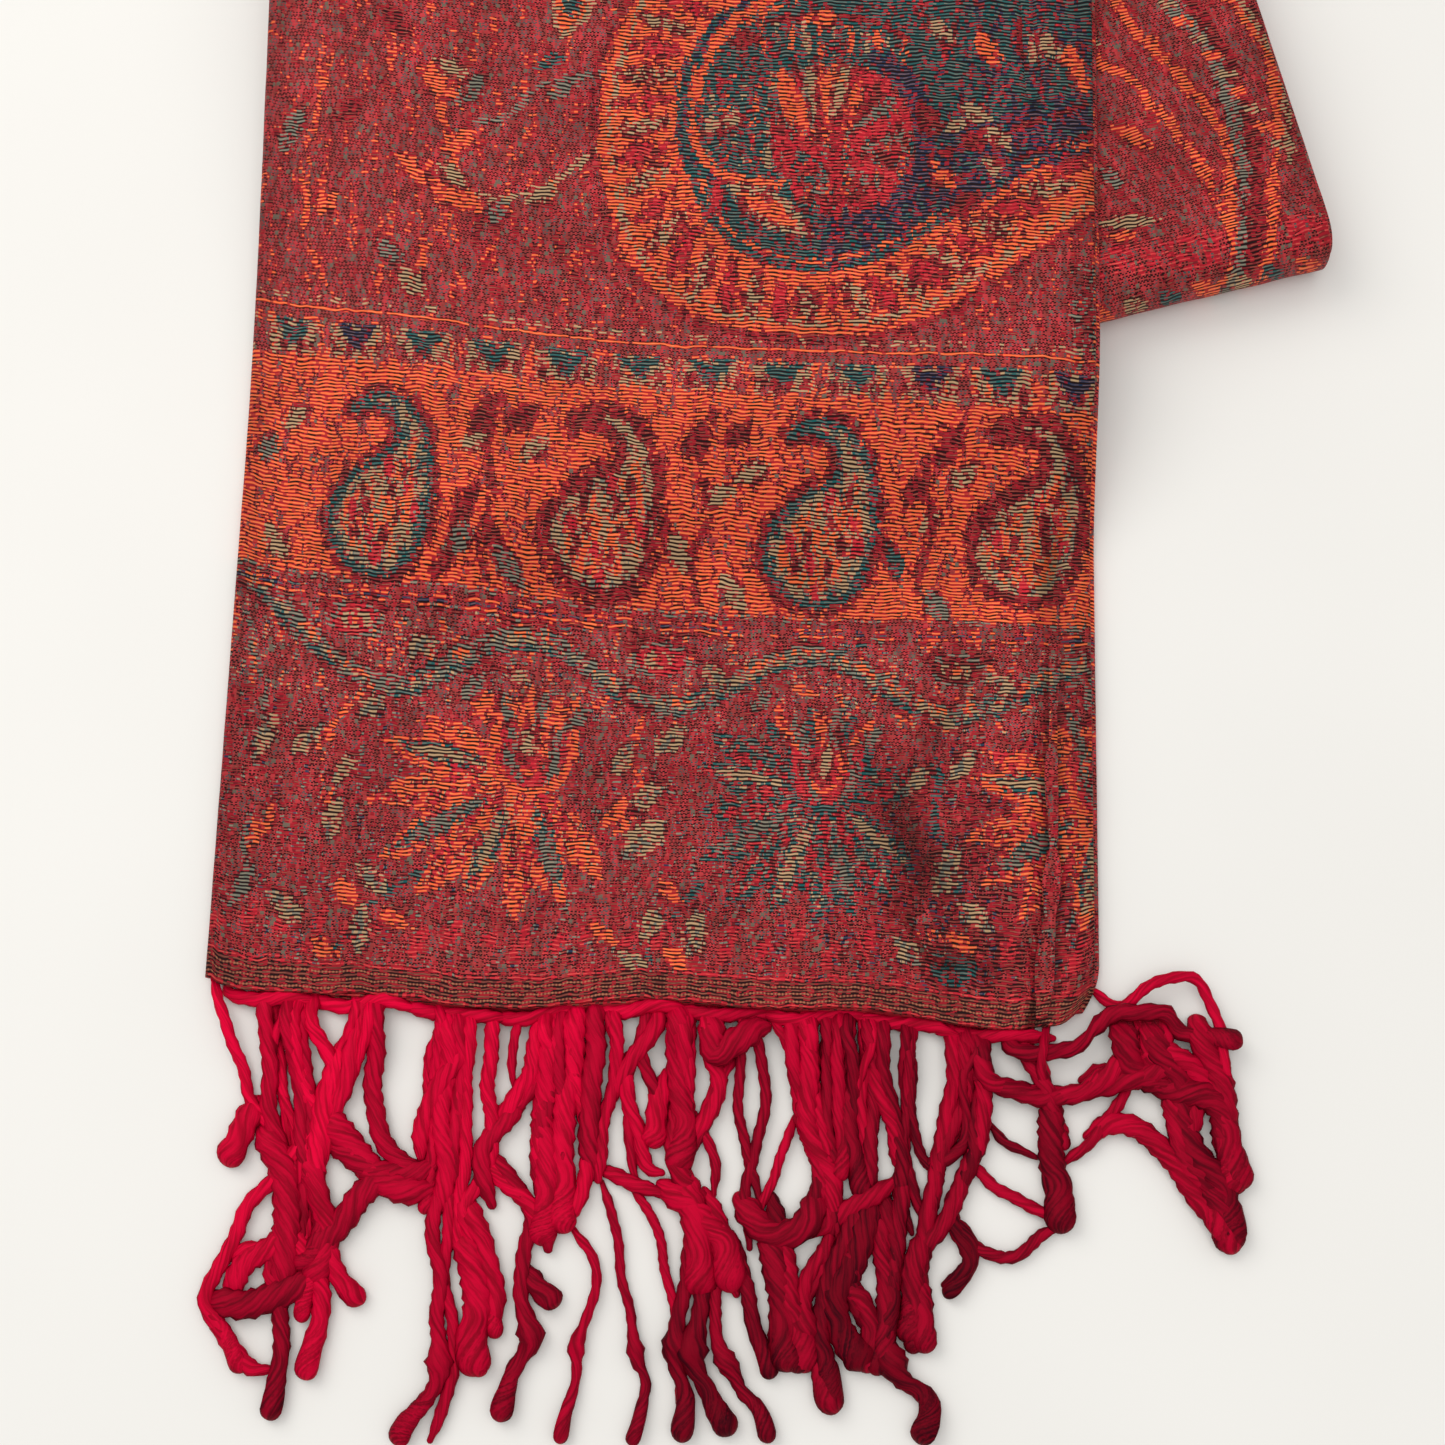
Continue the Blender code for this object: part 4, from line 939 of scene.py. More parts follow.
def woven_material():
    """Jacquard weave: weft rows of one yarn or another, bound at regular ticks, over warp and painted shade.
    """
    g = Graph("woven_paisley", 0.6, sheen=0.05, sheen_tint=(1.0, 0.55, 0.45, 1.0), specular=0.1)
    times, madd, less, more, plus, minus, over, floor, fract, size = (partial(g.math, name) for name in MATHS)
    place = g.attribute("cloth")["Vector"]
    u, v, _ = g.split(place)
    waver = minus(g.noise(place, 1.9, 1.0), 0.5)
    u2 = madd(waver, 0.16, u)
    row = over(madd(waver, 0.17, v), WEFT_PITCH * 100)
    line = floor(row)
    across_row = size(minus(fract(row), 0.5))
    odd = fract(times(line, 0.5))
    column = plus(over(u2, TICK_LENGTH), odd)
    across_column = size(minus(fract(column), 0.5))
    satin = fract(madd(line, 0.4, madd(floor(column), 0.2, 0.05)))
    speck = g.cells(column, row, 21.0)
    streaks = g.node("VectorMath", {0: place, 1: (3.4, 0.9, 1.0)}, operation="MULTIPLY").outputs[0]
    patch = g.ramp(g.noise(streaks, 1.0, 1.5), 0.3, 0.7)
    pick = madd(patch, 0.42, madd(satin, 0.26, times(g.cells(column, row, 12.0), 0.34)))
    pick = g.ramp(pick, 0.08, 0.92, 0.01, 0.99)
    shares = []
    for name in ("yarns_a", "yarns_b"):
        yarns = g.attribute(name)
        shares += [*g.split(yarns["Color"]), yarns["Alpha"]]
    totals = list(accumulate(shares, plus))
    # Ground: fine warp lines with dark ticks between the rows
    ground = g.mix(g.ramp(g.noise(streaks, 1.7, 1.0), 0.35, 0.65), GROUND, GROUND_DEEP)
    ground = g.mix(times(more(fract(over(u2, WARP_PITCH)), 0.62), 0.5), ground, GROUND_GREY)
    tick = times(g.ramp(across_column, 0.22, 0.36, 1.0, 0.0), g.ramp(across_row, 0.08, 0.22))
    tick_colour = g.mix(less(speck, 0.26), GROUND_DARK, GROUND_TEAL)
    ground = g.mix(times(tick, less(speck, 0.86)), ground, tick_colour)
    ground = g.mix(more(speck, 0.95), ground, GROUND_GREY)
    # Floats: bright threads bound down at ticks, over gaps of warp and painted shade
    thread = YARN_COLOURS[-1]
    for total, colour in reversed(list(zip(totals, YARN_COLOURS[:-1]))):
        thread = g.mix(less(pick, total), thread, colour)
    bound = times(less(satin, 0.1), less(speck, 0.55))
    thread = g.mix(times(bound, 0.8), thread, WARP)
    # Between the rows, where each thread's body fades off: painted shade in some cells, crimson warp in the
    # rest
    gap_shade_share = 0.0
    for share, dark in zip(shares, GAP_SHADE_SHARES):
        gap_shade_share = madd(share, dark, gap_shade_share)
    gap_warp_and_shade = g.mix(less(g.cells(column, row, 41.0), gap_shade_share), WARP, GAP_SHADE)
    body = g.ramp(across_row, 0.15, 0.36, 1.0, 0.0)
    # Painted highlight: a lighter glint along the middle of some threads
    painted_glint = times(g.ramp(across_row, 0.0, 0.2, 1.0, 0.0), times(speck, 0.26))
    thread = g.mix(painted_glint, thread, g.mix(1.0, thread, GLINT, "SCREEN"))
    floats = g.mix(body, gap_warp_and_shade, thread)
    dots = times(less(fract(over(u, DOT_PITCH)), 0.42), times(body, shares[HEM]))
    floats = g.mix(times(dots, odd), floats, HEM_DOT)
    colour = g.mix(less(pick, totals[-1]), ground, floats)
    # Shade: soft patches, darker folded edges and hollows
    fade = g.ramp(g.noise(place, 0.55, 4.0), 0.25, 0.75, 0.84, 1.14)
    left, right = (g.ramp(size(minus(u, edge)), 0.0, 1.1, 0.76, 1.0) for edge in FOLD_EDGES)
    fade = times(fade, times(left, right))
    fade = times(fade, g.ramp(g.attribute("hollow")["Fac"], -0.002, 0.0, 0.36, 1.0))
    shade = g.node("CombineXYZ", {0: fade, 1: fade, 2: fade}).outputs[0]
    height = times(body, madd(speck, 0.5, 0.5))
    return g.finish(g.mix(1.0, colour, shade, "MULTIPLY"), height, WEAVE_RELIEF)


def fringe_material():
    """Silky twisted yarn: bright and dark streaks along each strand, fibre tone and painted sheen, over
    painted shade.
    """
    g = Graph("fringe_yarn", 0.58, specular=0.05)
    streak = g.noise(g.attribute("fibre")["Vector"], 1.0, 2.5)
    # The strand attribute carries painted shade: darker to the right, outwards and on each strand's sides and
    # underside
    strand = g.attribute("strand")["Fac"]
    bright = g.mix(strand, dye(236, 0, 58), dye(112, 0, 22))
    dark = g.mix(strand, dye(172, 0, 36), dye(52, 0, 12))
    return g.finish(g.mix(g.ramp(streak, 0.3, 0.66), dark, bright), streak, FIBRE_RELIEF)


def link(name, data):
    """New object of the data, in the scene."""
    thing = bpy.data.objects.new(name, data)
    bpy.context.collection.objects.link(thing)
    return thing


ATTRIBUTE_FIELDS = {"FLOAT_COLOR": "color", "FLOAT_VECTOR": "vector", "FLOAT": "value"}


def shell(name, points, faces, material, attributes=()):
    """Smooth mesh piece with its attributes: name, kind, domain and values."""
    mesh = bpy.data.meshes.new(name)
    mesh.from_pydata(points.reshape(-1, 3).tolist(), [], faces)
    mesh.materials.append(material)
    mesh.shade_smooth()
    for label, kind, domain, values in attributes:
        data = mesh.attributes.new(label, kind, domain).data
        data.foreach_set(ATTRIBUTE_FIELDS[kind], np.asarray(values, dtype=np.float32).ravel())
    return link(name, mesh)


def row_quads(rows, size):
    """Quads between each closed row of points and the next."""
    row = np.arange(rows - 1)[:, None] * size
    here = np.arange(size)[None, :]
    after = (here + 1) % size
    return np.stack([row + here, row + after, row + size + after, row + size + here], axis=-1).reshape(-1, 4)


def end_faces(cut):
    """Triangles that close the end of a folded sheet, from its open edge to its inner one."""
    first, last = 0, len(cut) - 1
    faces = []
    while last - first > 1:
        if cut[first + 1] >= cut[last - 1]:
            faces.append([first, first + 1, last])
            first += 1
        else:
            faces.append([first, last - 1, last])
            last -= 1
    return faces


def woven_shell(name, points, cut, v, shares, material, facing_up=True, folded=True, hollow=None):
    """Closed cloth shell of rows of points, with its yarns' shares and cloth places on its corners."""
    rows, size = points.shape[:2]
    quads = row_quads(rows, size)
    after = np.roll(np.arange(size), -1)
    low, high = v[:-1, None] * 100, v[1:, None] * 100
    here_u, after_u = cut[None, :] * 100, cut[after][None, :] * 100
    places = np.stack([stack(here_u, low, 0.0), stack(after_u, low, 0.0),
                       stack(after_u, high, 0.0), stack(here_u, high, 0.0)], axis=2)
    weights = np.stack([shares, shares[:, after], shares[:, after], shares], axis=2)
    if not facing_up:
        quads, places, weights = quads[:, ::-1], places[:, :, ::-1], weights[:, :, ::-1]
    caps = end_faces(cut) if folded else [list(range(size))]
    turn = 1 if facing_up else -1
    last = (rows - 1) * size
    caps = [face[::-turn] for face in caps] + [[last + k for k in face[::turn]] for face in caps]
    corners = sum(map(len, caps))
    weights = np.vstack([weights.reshape(-1, 8), np.eye(8)[[HEM] * corners]])
    places = np.vstack([places.reshape(-1, 3), np.zeros((corners, 3))])
    attributes = [("cloth", "FLOAT_VECTOR", "CORNER", places),
                  ("yarns_a", "FLOAT_COLOR", "CORNER", weights[:, :4]),
                  ("yarns_b", "FLOAT_COLOR", "CORNER", weights[:, 4:])]
    if hollow is not None:
        attributes.append(("hollow", "FLOAT", "POINT", hollow))
    return shell(name, points, quads.tolist() + caps, material, attributes)


def paint(cut, v, *weaves):
    """Yarn shares between the rows, after each weave has been laid on them."""
    middles = (v[1:] + v[:-1]) / 2
    canvas = Canvas(cut * 100, middles * 100, np.zeros((len(middles), len(cut), 8)))
    for weave in weaves:
        weave(canvas)
    return canvas.shares


def declare(piece, node, slot):
    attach(piece, "root")
    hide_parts(node)


def build_front(material):
    """The band that fills the view, from the near hem to the top fold."""
    across, share, cut = folded_ring(-HALF_BAND)
    rows = round(FRONT_LENGTH / WEFT_PITCH)
    v = np.concatenate([
        np.linspace(0.0, FRONT_LENGTH, rows + 1),
        FRONT_LENGTH + np.linspace(0.0, TURN_LENGTH, 12)[1:], [FRONT_LENGTH + TURN_LENGTH + TOP_TUCK]])
    points = place_front(across[None, :], share[None, :], v[:, None])
    shares = paint(cut, v, weave_hem, weave_floral, weave_paisleys, weave_field, weave_hem)
    hollow = crease_height(across[None, :], v[:, None], CREASES + FINE_CREASES)
    return woven_shell("front_cloth", points, cut, v, shares, material, facing_up=False, hollow=hollow)


def build_second(material):
    """The stretch that swings out under the band and rolls round the pack's lower end."""
    across, share, cut = folded_ring(0.03)
    v = np.concatenate([
        np.linspace(0.0, SECOND_RUN, round(SECOND_RUN / WEFT_PITCH)),
        SECOND_RUN + np.linspace(0.0, ROLL_LENGTH, round(ROLL_LENGTH / WEFT_PITCH))[1:],
        [SECOND_RUN + ROLL_LENGTH + ROLL_TUCK * 0.5, SECOND_RUN + ROLL_LENGTH + ROLL_TUCK]])
    points = place_second(across[None, :], share[None, :], v[:, None])
    hollow = crease_height(across[None, :], v[:, None], SECOND_CREASES)
    shares = paint(cut, v, weave_second)
    return woven_shell("second_cloth", points, cut, v, shares, material, hollow=hollow)


def build_far(material):
    """The short end on the ground beyond the top fold, with the far hem."""
    across, share, cut = folded_ring(-HALF_BAND)
    v = np.linspace(0.0, FAR_LENGTH, round(FAR_LENGTH / WEFT_PITCH))
    points = place_far(across[None, :], share[None, :], v[:, None])
    shares = paint(cut, v, weave_hem, weave_floral, weave_hem)
    return woven_shell("far_cloth", points, cut, v, shares, material)


LAYERS = 12
GROUND_LAYERS = 3
# Edge of one layer: share of its height, how far it is set in there
LAYER_PROFILE = (
    (0.06, 0.0024), (0.16, 0.0009), (0.36, 0.0001), (0.64, 0.0001), (0.84, 0.0009), (0.94, 0.0024),
)
LAYER_SWAY = 0.0007
INNER_YARNS = ((ORANGE, 0.42), (BEIGE, 0.2), (TEAL, 0.18), (MAROON, 0.45))
OUTLINE_STEP = 0.0022
OUTLINE_COUNT = round(2 * (BAND_WIDTH + PACK_LENGTH) / OUTLINE_STEP)
INNER_CORNER = 0.008


def pack_outline(top_inset, lower_end):
    """Outline of the pack seen from above, as along and across, with rounded corners."""
    corners = ((lower_end, -1, pi), (lower_end, 1, 1.5 * pi), (0.0, 1, 2.0 * pi), (0.0, -1, 0.5 * pi))
    points = []
    for index, (end, side, start) in enumerate(corners):
        for step in range(5):
            angle = start + 0.5 * pi * step / 4
            w = side * (HALF_BAND - INNER_CORNER) + INNER_CORNER * cos(angle)
            out = INNER_CORNER * (1.0 - abs(sin(angle)))
            points.append((w * tan(FOLD_SLOPE) + top_inset + out if index >= 2 else end - out, w))
    points = np.array(points + points[:1])
    run = np.concatenate([[0.0], np.cumsum(np.hypot(*np.diff(points, axis=0).T))])
    place = np.linspace(0.0, run[-1], OUTLINE_COUNT + 1)[:-1]
    return np.interp(place, run, points[:, 0]), np.interp(place, run, points[:, 1])


def build_inner(material):
    """Hidden turns of the pack, layer on layer, each with a rounded edge of its own."""
    rows, levels = [], []
    room = ROLL_INNER_RADIUS - SEAM_GAP
    lap = np.linspace(0.0, 2 * pi, OUTLINE_COUNT + 1)[:-1]
    for layer in range(LAYERS):
        phases = np.random.default_rng(70 + layer).uniform(0, 2 * pi, 3)
        wave = sum(np.sin(count * lap + phase) for count, phase in zip((2, 5, 9), phases))
        for level, inset in LAYER_PROFILE:
            height = INNER_HEIGHT / LAYERS * (layer + level)
            if layer < GROUND_LAYERS:
                top, lower = FAR_TUCK + SEAM_GAP, ROLL_CENTRE - ROLL_TUCK - SEAM_GAP
            else:
                rise = min(abs(height - ROLL_RADIUS), room)
                top, lower = INNER_TOP_INSET, ROLL_CENTRE + sqrt(room**2 - rise**2) - 0.0006
            along, across = pack_outline(top, lower)
            middle = (top + lower) / 2
            pull = inset + LAYER_SWAY * (1.0 + wave / 3)
            pull = pull / np.maximum(np.hypot(along - middle, across), 0.01)
            along = along - (along - middle) * pull
            rows.append(pack_point(along, across * (1.0 - pull), height))
            levels.append(height)
    cut = np.cumsum(np.full(OUTLINE_COUNT, OUTLINE_STEP))
    draw = np.random.default_rng(8)
    shares = np.zeros((len(levels) - 1, OUTLINE_COUNT, 8))
    size = len(LAYER_PROFILE)
    for yarn, amount in INNER_YARNS:
        for start in range(0, len(levels), size):
            wave = sum(np.sin(lap * draw.integers(9, 60) + draw.uniform(0, 6.3)) for _ in range(4)) / 2
            shares[start:start + size, :, yarn] = amount * np.clip(wave + 0.3, 0.0, 1.0)
    return woven_shell("inner_cloth", np.stack(rows), cut, np.array(levels), shares, material, folded=False)


# Near fringe, in millimetres: across the hem and outwards from it.
# Clumps: strands, roots from and to, where they gather on the way, spread there, spread at the tips
CLUMPS = (
    (4, -103, -91, ((-98, 20), (-91, 42), (-87, 62), (-91, 80)), 4, 5),
    (2, -80, -72, ((-78, 18), (-82, 34), (-88, 52)), 2, 4),
    (4, -58, -49, ((-55, 16), (-54, 36), (-54, 56)), 3, 4),
    (3, -29, -20, ((-26, 16), (-25, 34), (-24, 48)), 4, 5),
    (2, 5, 10, ((6, 14), (8, 28), (9, 42)), 2, 3),
    (4, 46, 60, ((52, 16), (53, 34), (54, 46)), 4, 5),
    (3, 80, 91, ((85, 14), (83, 30), (77, 46)), 3, 4),
    (2, 99, 106, ((104, 12), (106, 24), (107, 34)), 2, 2),
)
# Single strands: half width, end (0 tapered, 1 tassel, 2 knot and tassel), across and outwards of the
# first point, then the steps from each point to the next
SINGLES = (
    (1.5, 0, -117, -3, 3, 8, 7, 15, 4, 9, 8, 10, 5, 11, 3, 12),
    (2, 0, -103, -2, 2, 12, 1, 9, 2, 13, 5, 10, 4, 8), (1.6, 0, -94, -3, 2, 12, 3, 16, 4, 9, -3, 12),
    (1.8, 1, -89, -2, 0, 10, 6, 9, 0, 9, -4, 9, -9, 12, -8, 8, -3, 11, -5, 12, 5, 8, 6, 10),
    (2.2, 0, -75, -2, -1, 12, -3, 12, -6, 13, -5, 16), (2.2, 0, -72, -2, 0, 16, 1, 14, 5, 12, 11, 6),
    (2.8, 1, -103, 29, -5, 10, -1, 5), (3, 0, -84, 31, 10, 10, 11, 8, 9, 0),
    (2.6, 0, -82, 37, 12, 7, 10, 1, 7, -3), (2.8, 0, -66, 45, -8, 6, -6, 9, -8, 9),
    (2.2, 1, -93, 54, 8, 16, 3, 8, -1, 11, -2, 8), (2.2, 1, -82, 62, 3, 8, 8, 8),
    (2, 1, -95, 70, 3, 10, 0, 13, -2, 14), (1.9, 0, -112, 79, 6, 9, 6, 6, 7, 1),
    (1.9, 0, -107, 67, 5, -2, 6, 1, 4, 7, -2, 7), (1.9, 0, -92, 4, 2, 18, 3, 18, -2, 16, -2, 14),
    (2.6, 0, -81, 14, -3, 15, -2, 13, -2, 12), (2.5, 1, -90, 38, 6, 13, 3, 11, -5, 12),
    (1.8, 0, -94, 40, 2, 12, -2, 12, -1, 8, 3, 8),
    (1.8, 2, -54, 0, -1, 18, 2, 12, 1, 16, -2, 12, 2, 11, 0, 12, 2, 11, -1, 6, -7, 8, -3, 7),
    (1.5, 0, -50, 0, 1, 22, -1, 16, 0, 19, -1, 12, 4, 15, -1, 14, -4, 14),
    (1.7, 1, -47, 1, 0, 20, 0, 23, 0, 17, 5, 12, 4, 7, 2, 6),
    (1.8, 1, -41, 2, 0, 19, 1, 15, -2, 9, -4, 10, 5, 14, 1, 27), (2.1, 0, -48, 0, -2, 13, -7, 15, -2, 14),
    (1.2, 0, -34, 3, -1, 10, 0, 8), (2.3, 0, -53, 0, 1, 14, -2, 14, 3, 13, -2, 14),
    (1.9, 0, -50, 1, 1, 16, 0, 12, -1, 12, -1, 11), (1.8, 0, -29, -1, 2, 16, -6, 10, -8, 3),
    (2.2, 0, -27, 0, 1, 21, -1, 16, 2, 16, 1, 11), (2.2, 0, -33, 25, -6, 9, -3, 7, 3, 12),
    (1.8, 2, -39, 40, 8, 10, 2, 7, -1, 10, 0, 9, 2, 10, -4, 9, -2, 12), (2.4, 1, -29, 69, 3, 4, 5, 5),
    (2.6, 1, -25, -1, -1, 19, 0, 18, 1, 14, 0, 13), (2.6, 1, -19, 1, -1, 18, -1, 18, 0, 14, 2, 8),
    (2.4, 0, -14, 1, 0, 20, 0, 16, 0, 9), (2.2, 0, -28, 3, -2, 13, -6, 11, -4, 5),
    (1.7, 0, -9, 2, 1, 17, -3, 15, -1, 13), (2, 0, -41, 41, 5, 5, 6, 6, 4, 8),
    (1.8, 0, -21, -1, 1, 16, 5, 16, -1, 18, -5, 10), (1.2, 2, -17, 59, 4, 6, 2, 9, -4, 11, -1, 10, -3, 16),
    (1.2, 2, -10, 48, 4, 12, 3, 16, 3, 15, 2, 3, 1, 4, -4, 13),
    (1.2, 2, -2, 48, 6, 9, 3, 11, 3, 15, 0, 6, 2, 9, 1, 12), (1.2, 0, -10, 5, 5, 16, 1, 12, 2, 10, 2, 4),
    (1.6, 0, 0, 3, -1, 11, 4, 11, 3, 6), (2.6, 1, 8, 2, 1, 18, 1, 13, -1, 11),
    (1.7, 0, 11, 2, 0, 14, 1, 14, -1, 9), (2.9, 1, 11, 44, 3, 12, 1, 10, 1, 8),
    (2.9, 1, 6, 47, 7, 5, 8, 8, 4, 13), (1.9, 0, 17, 49, 4, 8, 3, 9, 1, 8),
    (1.3, 0, 16, 6, 3, 14, -4, 13, -4, 7), (1.3, 0, 23, 14, -5, 8, -5, 14), (1.3, 0, 14, 30, 4, 9, 1, 10),
    (1.3, 0, 25, 10, -1, 12, 3, 14, 3, 15), (1.6, 0, 57, 10, 0, 16, 1, 11, 2, 10),
    (1.2, 0, 34, 4, 3, 5, 3, 10, 2, 13), (1.5, 0, 42, 4, 1, 18, 6, 20, 2, 17),
    (1.8, 0, 44, 32, 2, 12, -4, 12, -7, 5, -6, -5), (1.8, 1, 24, 60, 3, 10, 3, 10, 4, 14),
    (2.2, 1, 34, 50, 2, 10, 2, 11, 4, 11, -1, 11), (1.8, 2, 49, 59, -6, 12, 0, 11, 5, 15, 4, 5),
    (2, 1, 53, 62, 3, 12, 3, 8, 3, 11), (2, 2, 68, 43, -1, 10, -2, 13, -1, 16, 3, 11, 7, 6, -1, 10),
    (2.4, 1, 71, 66, 2, 10, 0, 11), (1.8, 2, 13, 60, -2, 16, -1, 13, 2, 9, 0, 12),
    (2, 2, 17, 62, -1, 14, -1, 14, 4, 9, 5, 10), (1.5, 2, 21, 64, -1, 12, 1, 10, 5, 10, 5, 5, 4, 9),
    (2.4, 0, 42, 7, 1, 13, 0, 12, 5, 11, 3, 12), (1.7, 0, 47, 3, 1, 16, 0, 13, 2, 11, 0, 16),
    (2, 1, 53, 4, -1, 17, 2, 11, 2, 8, 2, 9), (1.8, 0, 58, 4, 1, 13, 1, 11, -1, 10, -1, 12),
    (1.8, 0, 62, 4, 1, 15, 3, 13, 2, 10, 0, 10), (1.3, 0, 69, 4, 1, 23, 6, 17),
    (2.2, 0, 49, 55, 10, -7, 8, -5), (1.9, 0, 80, 4, 0, 16, -3, 16, -3, 14, 0, 15),
    (2, 1, 88, 4, 0, 20, -3, 15, -6, 14, -8, 10, -1, 21), (1.4, 0, 70, 4, -2, 19, 1, 17, 4, 14),
    (2.6, 1, 73, 58, -3, 12, 0, 15), (1.6, 1, 80, 53, 5, 5, 0, 6, -7, 9),
    (2, 1, 63, 48, 2, 14, 0, 13, -2, 12), (1.4, 0, 68, 4, 0, 21, -1, 13, 0, 10, 3, 10),
    (1.8, 1, 83, 4, 0, 18, -4, 11, -4, 13, -1, 12, -4, 29),
    (1.8, 0, 88, 5, -1, 17, -2, 16, -5, 12, 4, 10, 0, 5, -7, 5), (1.3, 0, 91, 28, 4, 5, 8, 4),
    (1.5, 0, 86, 39, 7, 7, 11, 5, 5, 2), (1.5, 0, 83, 57, 5, 4, 9, 1, 7, -5, 5, -3),
    (2.8, 1, 106, 21, 0, 16, 1, 9, 2, 10), (2, 1, 96, 5, 10, 2, 7, -1, 9, -6, 6, -1, 8, 1, 4, 5, 16, 1),
    (1.4, 0, 117, -7, 6, 5, 7, -5, 8, -3, 6, 1, 4, 8, 3, 12, 1, 14, 0, 11, 1, 7),
    (2.3, 0, 88, 13, 8, 4, 10, 1, 11, 0, 8, -6, 6, -3, 7, 3), (2.2, 0, 136, 13, 7, 5, 0, 8, -4, 9),
    (2.4, 1, 117, 30, 6, -2, 7, 3, 8, 7, 6, 9, 6, 9, 2, 4), (2.4, 0, 138, 28, 3, 9, 6, 9, 4, 11),
    (1.5, 0, 110, 37, 7, -6, 5, -6, 6, -8), (2, 0, 98, 4, 6, 11, 2, 11, 1, 12, 0, 14),
    (2, 0, 112, 19, 8, -3, 7, -6, 5, -1, 6, 5), (2.4, 0, 86, 12, 8, 4, 10, 3, 14, 0, 10, -3, 9, 2, 5, 8),
    (2.4, 1, 130, 9, 6, 0, 7, 5, 5, 7, 3, 11, 2, 14), (2.4, 1, 132, 12, 4, 6, 2, 9, 3, 11, 7, 9, 4, 12),
    (2.9, 0, 18, 12, 5, -3, 6, -4, 4, 0), (2.2, 0, 10, 4, 0, 12, -2, 15, 2, 12, 7, 7),
    (2, 0, 3, 4, -2, 5, -6, 9, -4, 9), (2.4, 1, 5, 20, -2, 9, 0, 4, -2, 4),
    (2, 0, 16, 4, 1, 9, 2, 8, -4, 10, -4, 6), (1.8, 0, -5, 16, 1, 10, 5, 16, 5, 2),
    (1.8, 0, -10, 43, 5, 2, 6, 2, 5, 2), (1.4, 0, 29, 7, 2, 9, 0, 8, -2, 14, -2, 12, 1, 12),
    (1.8, 0, 38, 7, 1, 11, 2, 10, 5, 13, 2, 13, -6, 5), (1.2, 0, 39, 29, -4, 12, -4, 9, -1, 7),
    (1.8, 0, 43, 4, 1, 16, 2, 12, 3, 13, 1, 9), (1.8, 0, 50, 4, 1, 13, 2, 11, 0, 8, 1, 8),
    (1.8, 0, 58, 4, 2, 14, 4, 10, 2, 8, 3, 8), (2.8, 1, 33, 58, 2, 11, 2, 8, 1, 8, 1, 8),
    (2.6, 1, 36, 56, 2, 12, 1, 7, 2, 7, 2, 10), (3, 0, 26, 50, 5, 6, 4, 2, 5, -1, 3, -3, 3, -8),
    (2.2, 1, 57, 49, -3, 9, -4, 7, -2, 6, -1, 8, 1, 8, 1, 8, 1, 7),
    (2.8, 1, 60, 50, -3, 10, -3, 7, -4, 5, 1, 7, 3, 6, 3, 3, 1, 4),
    (2.2, 1, 51, 70, 5, 3, 2, 4, 2, 6, -1, 9), (2.6, 0, 57, 50, -1, 10, -1, 7, -3, 5),
    (1.5, 0, 49, 57, -3, 11, -3, 7, 1, 6, 2, 7), (2.2, 1, 62, 52, 1, 14, 0, 10, 0, 10, 2, 6),
    (3, 0, 126, 13, 10, 5, 9, 2, 5, 6, 0, 12), (2.8, 1, 133, 8, 6, 10, 1, 9, 3, 8, 5, 7, 3, 8, 1, 9),
    (2.8, 1, 145, 7, 5, 10, 1, 11, 1, 8, 2, 8), (2.4, 0, 116, 15, 12, 1, 11, -3, 10, -1),
    (3, 0, -110, 78, 7, 1, 7, -2, 8, -2, 5, -5), (3, 0, -100, 35, 6, 12, 2, 11, 0, 9, -2, 10),
    (2.6, 0, -106, 76, 4, -8, 7, -4, 7, -5), (3, 1, -46, 60, 3, 10, 1, 9, 0, 8, 2, 8),
    (2.4, 0, -45, 52, 4, 10, 3, 11, 1, 11), (3, 1, 146, 42, 4, 10, 2, 8),
)
# Clumps of the far fringe, same columns
FAR_CLUMPS = (
    (12, -114, -92, ((-110, 20), (-114, 48), (-124, 84)), 7, 12),
    (13, -88, -60, ((-78, 18), (-80, 48), (-70, 92)), 8, 12),
    (13, -56, -30, ((-46, 20), (-38, 52), (-46, 96)), 8, 12),
    (13, -26, 4, ((-12, 18), (-6, 52), (-10, 96)), 9, 12),
    (13, 10, 36, ((24, 18), (20, 50), (32, 96)), 8, 12),
    (13, 44, 74, ((60, 20), (58, 52), (62, 96)), 9, 12),
    (14, 80, 114, ((98, 18), (106, 48), (112, 90)), 9, 12),
)
STRAND_SIDES = 10
# Wandering of a strand: run in which it starts, lengths of its waves, size against length
SWAY_RUN = 0.015
SWAY_LENGTHS = (0.034, 0.015)
SWAY_SHARE = 0.014
LIFT_WAVE = 0.0009
LIFT_LENGTH = 0.031
# Growth of a strand's radius towards its end, by kind of end, and at a knot
TASSEL_GROWTH = (0.0, 0.26, 0.55)
TASSEL_REACH = 0.016
TAPER_REACH = 0.007
KNOT_GROWTH = 0.8
KNOT_PLACE = 0.024
KNOT_LENGTH = 0.0034
PLY_LOBE = 0.11
TASSEL_LOBE = 0.12
STRAND_STEP = 0.0015
PLY_TWIST = 0.8
FLOOR_CLEAR = 0.0004
HIDDEN_START = 0.003
NEAR_HEM = 0.014
ROUND_TIP = 0.0022
ROUND_STEPS = np.array([0.0, 0.0002, 0.0006, 0.0012])
LIE_DOWN = 0.72
